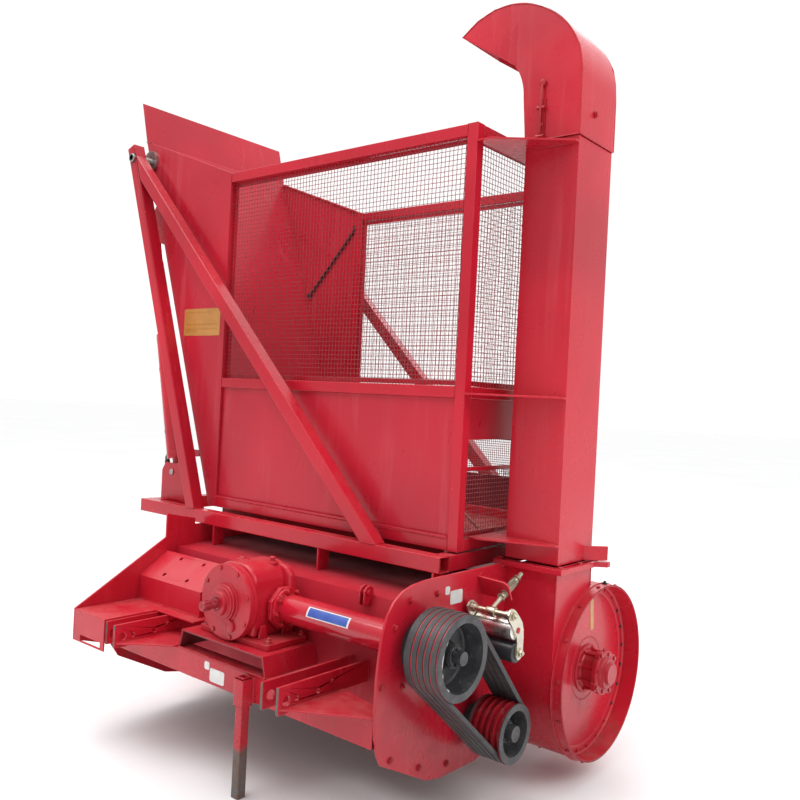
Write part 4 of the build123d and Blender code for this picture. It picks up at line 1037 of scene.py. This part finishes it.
# elbow latch, side bolt, flange strip under the elbow and the duct's folded seams
s = Shape()
block(s, 716, 742, 470.5, 475.5, 2150, 2300, 0)
block(s, 720, 738, 466, 471, 2168, 2262, 0)
pipe(s, [(729, 463, 2180), (729, 460, 2230), (729, 461, 2290), (729, 464, 2330), (729, 468, 2352)], 4.2, 10, 0)
lathe(s, (729, 471, 2352), -Y, [(0, 0), (12, 0), (12, 5), (9, 8), (0, 9)], 20, 0)
lathe(s, (714, 465, 2268), X, [(0, 0), (6, 0), (6, 30), (0, 30)], 16, 0)
lathe(s, (714, 465, 2172), X, [(0, 0), (6, 0), (6, 30), (0, 30)], 16, 0)
bolt(s, (729, 466, 2208), -Y, 9, kind=0)
bolt(s, (876, 572, 2250), X, 10, kind=0)
make(s, "elbow_latch", "bin", RED_BOLT, angle=34, bevel=0.8)
s = Shape()
OUT = [(383, 2586), (449, 2630), (518, 2652), (585, 2654), (650, 2641), (707, 2616), (760, 2581), (806, 2537), (838, 2490), (857, 2452),
       (868, 2400), (872, 2340), (872.5, 2250), (872.5, 2164)]
for y in (474.4, 722.6):
    pts = []
    for (xa, za), (xb, zb) in zip(OUT, OUT[1:]):
        for k in range(6):
            t = k / 6
            pts.append((xa + (xb - xa) * t, y, za + (zb - za) * t))
    pts.append((OUT[-1][0], y, OUT[-1][1]))
    cx, cz = 600, 2300
    pts = [(x - (x - cx) * 0.004, yy, z - (z - cz) * 0.004) for x, yy, z in pts]
    pipe(s, pts, 1.9, 7, 0)
bead(s, (672, 474.6, 2163), (868, 474.6, 2163), 2.2)
bead(s, (872, 478, 2163), (872, 718, 2163), 2.2)
bead(s, (668.5, 479, 1310), (668.5, 716, 1310), 2.6)
for z in (1310, 2136, 832):
    bead(s, (676, 477, z), (864, 477, z), 2.6)
make(s, "elbow_seams", "bin", RED_WELD, angle=60)

# --------------------------------------------------------------- weld beads
s = Shape()
for x0, x1 in ((-447, -388), (-388, -378), (374, 384), (440, 450)):
    for x in (x0, x1):
        bead(s, (x, -112, 386), (x, -168, 386), 2.8)
for x in (-378, 450):
    bead(s, (x + 1, -60, 392), (x + 1, -300, 392), 2.6)
for x in (-437, -378, 384, 450):
    bead(s, (x, 58, 392), (x, 58, 448), 2.6)
bead(s, (-225, -171.5, 386), (225, -171.5, 386), 2.8)
bead(s, (-600, -171.5, 386), (-470, -171.5, 386), 2.6)
bead(s, (128, -171.5, 376), (172, -171.5, 376), 2.4)
for y in (-171.5,):
    bead(s, (126.5, y, 296), (126.5, y, 372), 2.4)
    bead(s, (173.5, y, 296), (173.5, y, 372), 2.4)
bead(s, (-640, -61.5, 459), (-264, -61.5, 459), 2.6)
bead(s, (-262, -58, 547), (-262, 58, 626), 2.6)
for a in range(0, 360, 15):
    b = a + 15
    p = (670, PY + 49 * math.cos(math.radians(a)), PZ + 49 * math.sin(math.radians(a)))
    q = (670, PY + 49 * math.cos(math.radians(b)), PZ + 49 * math.sin(math.radians(b)))
    bead(s, p, q, 2.6)
    p = (130, PY + 49 * math.cos(math.radians(a)), PZ + 49 * math.sin(math.radians(a)))
    q = (130, PY + 49 * math.cos(math.radians(b)), PZ + 49 * math.sin(math.radians(b)))
    bead(s, p, q, 2.2)
for y0, y1 in ((216, 270), (1210, 1264)):
    for x in (-748, -692, 246, 308):
        bead(s, (x, y0 + 2, 779), (x, y1 - 2, 779), 2.8)
    bead(s, (-746, y0 - 0.3, 779), (-694, y0 - 0.3, 779), 2.4)
    bead(s, (246, y0 - 0.3, 779), (308, y0 - 0.3, 779), 2.4)
for x in (-1074, -1020, 536, 590):
    bead(s, (x, 270.5, 728), (x, 270.5, 776), 2.6)
    bead(s, (x, 1209.5, 728), (x, 1209.5, 776), 2.6)
make(s, "welds_body", "root", RED_WELD, angle=60)

s = Shape()
for y0 in (305, 1135):
    yo = y0 if y0 < 500 else y0 + 40
    for z in (784, 1291, 2160):
        for x in (-666, 550):
            bead(s, (x, yo, z + 3), (x, yo, z + 37), 2.2)
for z in (784, 1291, 2160):
    for y in (345, 1135):
        bead(s, (590, y, z + 3), (590, y, z + 37), 2.2)
for y in (350, 1130):
    for dy in (-32, -24, 24, 32):
        low = -712 - (1930 - 784) * 598 / 1653
        high = -712 - (2150 - 784) * 598 / 1653
        bead(s, (low - 1.2, y + dy, 1935), (high - 1.2, y + dy, 2145), 2.4)
for y in (303.5, 1176.5):
    bead(s, (-1312, y, 2434), (-1270, y, 2425), 2.2)
make(s, "welds_bin", "bin", RED_WELD, angle=60)

# ---------------------------------------------------- sheet folds on the bin
s = Shape()
py(s, 302, 305, [(-664, 826), (548, 826), (548, 834), (-664, 834)])
for y in (299, 1177):
    pass
# folded lip along the gusset's sloping top edge and the slope of the left wall
slope = [(-1302, 2434), (-668, 2200)]
for y0, y1 in ((309, 321), (1159, 1171)):
    py(s, y0, y1, [(slope[0][0] + 6, slope[0][1] - 5), (slope[1][0], slope[1][1] - 3), (slope[1][0], slope[1][1] - 7),
                   (slope[0][0] + 8, slope[0][1] - 9)])
make(s, "bin_folds", "bin", RED_PANEL, bevel=0.8)
s = Shape()
pipe(s, [(-736, 1164, 2138), (-1046, 1164, 1806)], 6.5, 12, 0)
for p in ((-736, 1164, 2138), (-1046, 1164, 1806)):
    lathe(s, p, Y, [(0, -9), (13, -9), (13, 7), (0, 7)], 20, 0)
make(s, "bin_stay_rear", "bin", DARK, angle=34)
s = Shape()
pipe(s, [(571, 352, 918), (571, 440, 858), (571, 452, 850)], 4.0, 10, 0)
make(s, "bin_stay_low", "bin", ZINC_PALE, angle=34)
# back panel window frame
s = Shape()
for x0, x1, z0, z1 in ((-14, 0, 953, 1138), (260, 274, 953, 1138), (0, 260, 953, 967), (0, 260, 1124, 1138)):
    block(s, x0, x1, 1162.5, 1168, z0, z1)
make(s, "window_frame", "bin", RED_TUBE, bevel=1.0)

# ------------------------------------------------------------ hood lug, rods
s = Shape()
px(s, 376, 384, [(92, 604), (74, 612), (74, 654), (84, 668), (100, 672), (116, 664), (119, 641)])
px(s, 396, 404, [(92, 604), (74, 612), (74, 654), (84, 668), (100, 672), (116, 664), (119, 641)])
lathe(s, (370, 92, 650), X, [(0, 0), (9, 0), (9, 40), (0, 40)], 20)
make(s, "hood_lug", "root", RED_CAST, bevel=2.0)

# ------------------------------------------------------------------- wheels
for side, cx, body in (("left", -480, "wheel_left"), ("right", 480, "wheel_right")):
    s = Shape()
    prof = [(90.5, -38), (100, -43), (118, -45), (136, -43.5), (148, -38), (154, -31)]
    flat = [(157.0, -29), (159.6, -26)]
    prof = prof + flat + [(r, -h) for r, h in reversed(prof + flat)]
    segs = 144
    verts, faces = [], []
    for i in range(segs):
        a = 2 * math.pi * i / segs
        lug = (i % 6) < 4
        for r, h in prof:
            k = r
            if r > 155:
                band = int((h + 45) // 15)
                on = ((i + 3 * (band % 2)) % 6) < 4
                k = r if on else r - 5.5
            verts.append((cx + h, 1150 + k * math.cos(a), 160 + k * math.sin(a)))
    m = len(prof)
    for i in range(segs):
        j = (i + 1) % segs
        for k in range(m):
            l = (k + 1) % m
            faces.append([i * m + k, j * m + k, j * m + l, i * m + l])
    s.add(verts, faces)
    # circumferential tread ribs, cut by the lug gaps
    for h0, h1 in ((-24, -14), (-8, 8), (14, 24)):
        for i in range(36):
            a0 = 2 * math.pi * (i + (0.25 if h0 == -8 else 0.0)) / 36
            a1 = a0 + 2 * math.pi / 36 * 0.66
            vs = []
            for a in (a0, (a0 + a1) / 2, a1):
                for r in (152.5, 159.9):
                    for h in (h0, h1):
                        vs.append((cx + h, 1150 + r * math.cos(a), 160 + r * math.sin(a)))
            fs = []
            for q in (0, 1):
                o, p = q * 4, (q + 1) * 4
                fs += [[o, o + 1, p + 1, p], [o + 2, p + 2, p + 3, o + 3], [o, p, p + 2, o + 2], [o + 1, o + 3, p + 3, p + 1]]
            fs += [[0, 2, 3, 1], [8, 9, 11, 10]]
            s.add(vs, fs)
    for h in (-46.2, 46.2):
        lathe(s, (cx + h, 1150, 160), X, [(122, -1), (124, 0.8), (126, 0.8), (128, -1)], 96, closed=True)
    make(s, f"tyre_tread_{side}", body, TYRE, angle=32, stands_for=(f"tyre_{side}",))
    s = Shape()
    for face, n in ((48, X), (-48, -X)):
        lathe(s, (cx + face * 0.99, 1150, 160), n, [(12.4, -1), (24, -1), (23, 2.2), (12.4, 2.2)], 30, closed=True)
        for p in ring_of((cx + (10 if face > 0 else -10), 1150, 160), n, 52, 4, 0.4):
            bolt(s, p, n, 11, thread=4)
    make(s, f"wheel_bolts_{side}", body, SHAFT, angle=30)
s = Shape()
for cx in (-480, 480):
    bolt(s, (cx + 61, 1150, 160), X, 15, thread=6)
    bolt(s, (cx - 61, 1150, 160), -X, 15)
make(s, "axle_nuts", "root", SHAFT, angle=30)

# guard on the left side: lid screws and handle
s = Shape()
dy, dz = FY - RY, FZ - RZ
hd = math.atan2(dz, dy)
for t, r, a in ((0, 104, hd + 2.2), (0, 104, hd - 2.2), (0, 104, math.pi + hd), (1, 104, hd + 0.9), (1, 104, hd - 0.9), (1, 104, hd + 2.0)):
    cy, cz = (RY, RZ) if t == 0 else (FY, FZ)
    bolt(s, (-716, cy + r * math.cos(a), cz + r * math.sin(a)), -X, 9)
pipe(s, [(-716, 500, 330), (-738, 500, 330), (-742, 505, 331), (-742, 595, 352), (-738, 600, 353), (-716, 600, 353)], 5, 10)
make(s, "guard_fittings", "root", RED_BOLT, angle=34)

# ------------------------------------------------------- rotor: flail hinges
s = Shape()
for angle, places in ((38, (-540, -260, 20, 300)), (128, (-470, -190, 90, 370)), (218, (-598, -370, -60, 440)), (308, (-330, -50, 230, 510))):
    a = math.radians(angle)
    c, d = math.cos(a), math.sin(a)
    for x in places:
        for dx in (-9, 90):
            prism(s, Vector((x + dx, RY, RZ)) + Vector((0, c, d)) * 52, (0, c, d), (0, -d, c), (1, 0, 0),
                  [(0, -22), (0, 22), (38, 14), (44, 0), (38, -14)], 8)
        bolt(s, Vector((x + 98, RY + c * 84, RZ + d * 84)), X, 10, thread=3)
        bolt(s, Vector((x - 9, RY + c * 84, RZ + d * 84)), -X, 10)
make(s, "flail_lugs", "rotor", FLAIL, angle=34, bevel=1.0)

# ------------------------------------------------- bearing housings
s = Shape()
for x, cy, cz, r, n in ((705, PY, PZ, 80, X), (705, RY, RZ, 55, X)):
    for p in ring_of((x, cy, cz), n, r - 13, 4, math.pi / 4):
        bolt(s, p, n, 10)
    lathe(s, (x, cy, cz), n, [(r * 0.55, -1), (r * 0.62, -1), (r * 0.62, 5), (r * 0.55, 6)], 40, closed=True)
make(s, "bearing_bolts", "root", DARK, angle=30)

# cylinder glands, ports and the pipe along the front barrel
FX, FZ0, EX, EZ = -1000.0, 900.0, -1262.0, 2010.0
reach = math.hypot(EX - FX, EZ - FZ0)
U = Vector(((EX - FX) / reach, 0, (EZ - FZ0) / reach))
for tag, y in (("front", 350), ("rear", 1130)):
    s = Shape()
    o = Vector((FX, y, FZ0))
    side = Vector((U.z, 0, -U.x))
    lathe(s, o, U, [(20.3, 598), (41.8, 598), (42.6, 602), (42.6, 632), (40.5, 639.6), (24, 640.6), (20.3, 640.6)], 48, 0, closed=True)
    lathe(s, o, U, [(41.8, 62), (42.6, 63), (42.6, 92), (41.8, 94)], 48, 0, closed=True)
    for t in (84, 580):
        lathe(s, o + U * t - side * 38, -side, [(0, 0), (12, 0), (12, 9), (10, 10), (0, 10)], 18, 0)
        lathe(s, o + U * t - side * 47, -side, [(0, 0), (11, 0), (11, 12), (0, 12)], 6, 1)
    # elbow fitting and its cap on the lower port
    p0 = o + U * 84 - side * 56
    pipe(s, [p0, p0 - side * 9 - U * 2, p0 - side * 15 - U * 9, p0 - side * 16 - U * 24], 9.5, 14, 2)
    lathe(s, p0 - side * 16 - U * 22, -U, [(0, 0), (13, 0), (13, 15), (11, 17), (0, 17)], 6, 2)
    lathe(s, p0 + side * 4, -side, [(0, 0), (13.5, 0), (13.5, 8), (0, 8)], 6, 2)
    # steel line from the lower port to the upper one
    pts = [o + U * t - side * (58 if 100 < t < 564 else 52) for t in (96, 104, 130, 220, 320, 420, 520, 556, 566)]
    pipe(s, pts, 4.6, 12, 0)
    for t in (180, 470):
        lathe(s, o + U * t, U, [(41.6, 0), (43.6, 0), (43.6, 14), (41.6, 14)], 44, 0, closed=True)
        prism(s, o + U * t - Y * 9 - side * 42, -side, Y, U, [(0, 0), (22, 2), (22, 16), (0, 18)], 14, 0)
    make(s, f"cylinder_fittings_{tag}", f"barrel_{tag}", [RED_SHAFT_TUBE, ZINC_PALE, DARK], angle=34)

# ------------------------------------------------------- camera, light, floor
cam_data = bpy.data.cameras.new("camera")
cam = bpy.data.objects.new("camera", cam_data)
bpy.context.scene.collection.objects.link(cam)
a, r = math.radians(39.419), math.radians(2.909)
right = Vector((math.cos(r) * math.cos(a), math.cos(r) * math.sin(a), math.sin(r)))
up = Vector((-math.sin(r) * math.cos(a), -math.sin(r) * math.sin(a), math.cos(r)))
back = Vector((math.sin(a), -math.cos(a), 0))
rot = Matrix((right, up, back)).transposed()
cam.matrix_world = Matrix.Translation(R((2151, -1924, 1275))) @ rot.to_4x4()
cam_data.lens = 37.26
cam_data.sensor_width = 36
cam_data.clip_start, cam_data.clip_end = 0.05, 200
bpy.context.scene.camera = cam

floor_mat = Mat("floor_pale", 0.75)
floor_mat.color(floor_mat.mix(floor_mat.span(floor_mat.noise(0.7, 4.0), 0.3, 0.7), (0.87, 0.865, 0.86), (0.84, 0.835, 0.83)))
floor_mat.link(floor_mat.bump(floor_mat.noise(60.0, 4.0), 0.05, 0.002), floor_mat.b.inputs["Normal"])
fl = bpy.data.meshes.new("floor")
n = 96
fl.from_pydata([(60 * math.cos(2 * math.pi * i / n), 60 * math.sin(2 * math.pi * i / n), 0) for i in range(n)], [], [list(range(n))])
fl.materials.append(floor_mat.m)
floor = bpy.data.objects.new("floor", fl)
bpy.context.scene.collection.objects.link(floor)
floor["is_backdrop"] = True

world = bpy.data.worlds.new("studio")
bpy.context.scene.world = world
world.use_nodes = True
nt = world.node_tree
nt.nodes.clear()
bg = nt.nodes.new("ShaderNodeBackground")
wo = nt.nodes.new("ShaderNodeOutputWorld")
tc = nt.nodes.new("ShaderNodeTexCoord")
dot = nt.nodes.new("ShaderNodeVectorMath")
dot.operation = "DOT_PRODUCT"
dot.inputs[1].default_value = (-0.635, 0.773, 0.0)
mr = nt.nodes.new("ShaderNodeMapRange")
mr.interpolation_type = "SMOOTHSTEP"
nt.links.new(tc.outputs["Generated"], dot.inputs[0])
nt.links.new(dot.outputs["Value"], mr.inputs["Value"])
mr.inputs["From Min"].default_value = 0.15
mr.inputs["From Max"].default_value = 0.62
mr.inputs["To Min"].default_value = 0.60
mr.inputs["To Max"].default_value = 1.05
up = nt.nodes.new("ShaderNodeVectorMath")
up.operation = "DOT_PRODUCT"
up.inputs[1].default_value = (0.0, 0.0, 1.0)
nt.links.new(tc.outputs["Generated"], up.inputs[0])
ur = nt.nodes.new("ShaderNodeMapRange")
ur.interpolation_type = "SMOOTHSTEP"
nt.links.new(up.outputs["Value"], ur.inputs["Value"])
ur.inputs["From Min"].default_value = 0.30
ur.inputs["From Max"].default_value = 0.95
ur.inputs["To Min"].default_value = 0.0
ur.inputs["To Max"].default_value = 0.75
total = nt.nodes.new("ShaderNodeMath")
nt.links.new(mr.outputs[0], total.inputs[0])
nt.links.new(ur.outputs[0], total.inputs[1])
tint = nt.nodes.new("ShaderNodeMix")
tint.data_type = "RGBA"
nt.links.new(ur.outputs[0], tint.inputs["Factor"])
tint.inputs["A"].default_value = (1.0, 0.99, 0.985, 1)
tint.inputs["B"].default_value = (0.94, 0.965, 1.0, 1)
nt.links.new(tint.outputs["Result"], bg.inputs["Color"])
nt.links.new(total.outputs[0], bg.inputs["Strength"])
nt.links.new(bg.outputs[0], wo.inputs[0])


def area(name, place, target, size, power, color=(1, 1, 1), size_y=None):
    d = bpy.data.lights.new(name, "AREA")
    d.shape = "RECTANGLE"
    d.size, d.size_y = size, size_y or size
    d.energy = power
    d.color = color
    o = bpy.data.objects.new(name, d)
    bpy.context.scene.collection.objects.link(o)
    o.location = place
    o.rotation_euler = (Vector(target) - Vector(place)).to_track_quat("-Z", "Y").to_euler()
    return o


area("key_top", (-1.2, -2.2, 6.6), (0, 0.2, 1.0), 4.5, 250)
area("side_right", (5.4, 0.4, 4.6), (0, 0, 1.0), 3.2, 110, (1.0, 0.99, 0.98))
area("back_rim", (-2.0, 5.0, 4.5), (0, 0, 1.4), 3.5, 90, (0.96, 0.98, 1.0))

vs = bpy.context.scene.view_settings
vs.view_transform = "Standard"
vs.look = "None"
vs.exposure = 0.0

size = {"cad_box": [list(cad_box[0]), list(cad_box[1])]}
lo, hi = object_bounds()
size["visual_box"] = [list(lo), list(hi)]
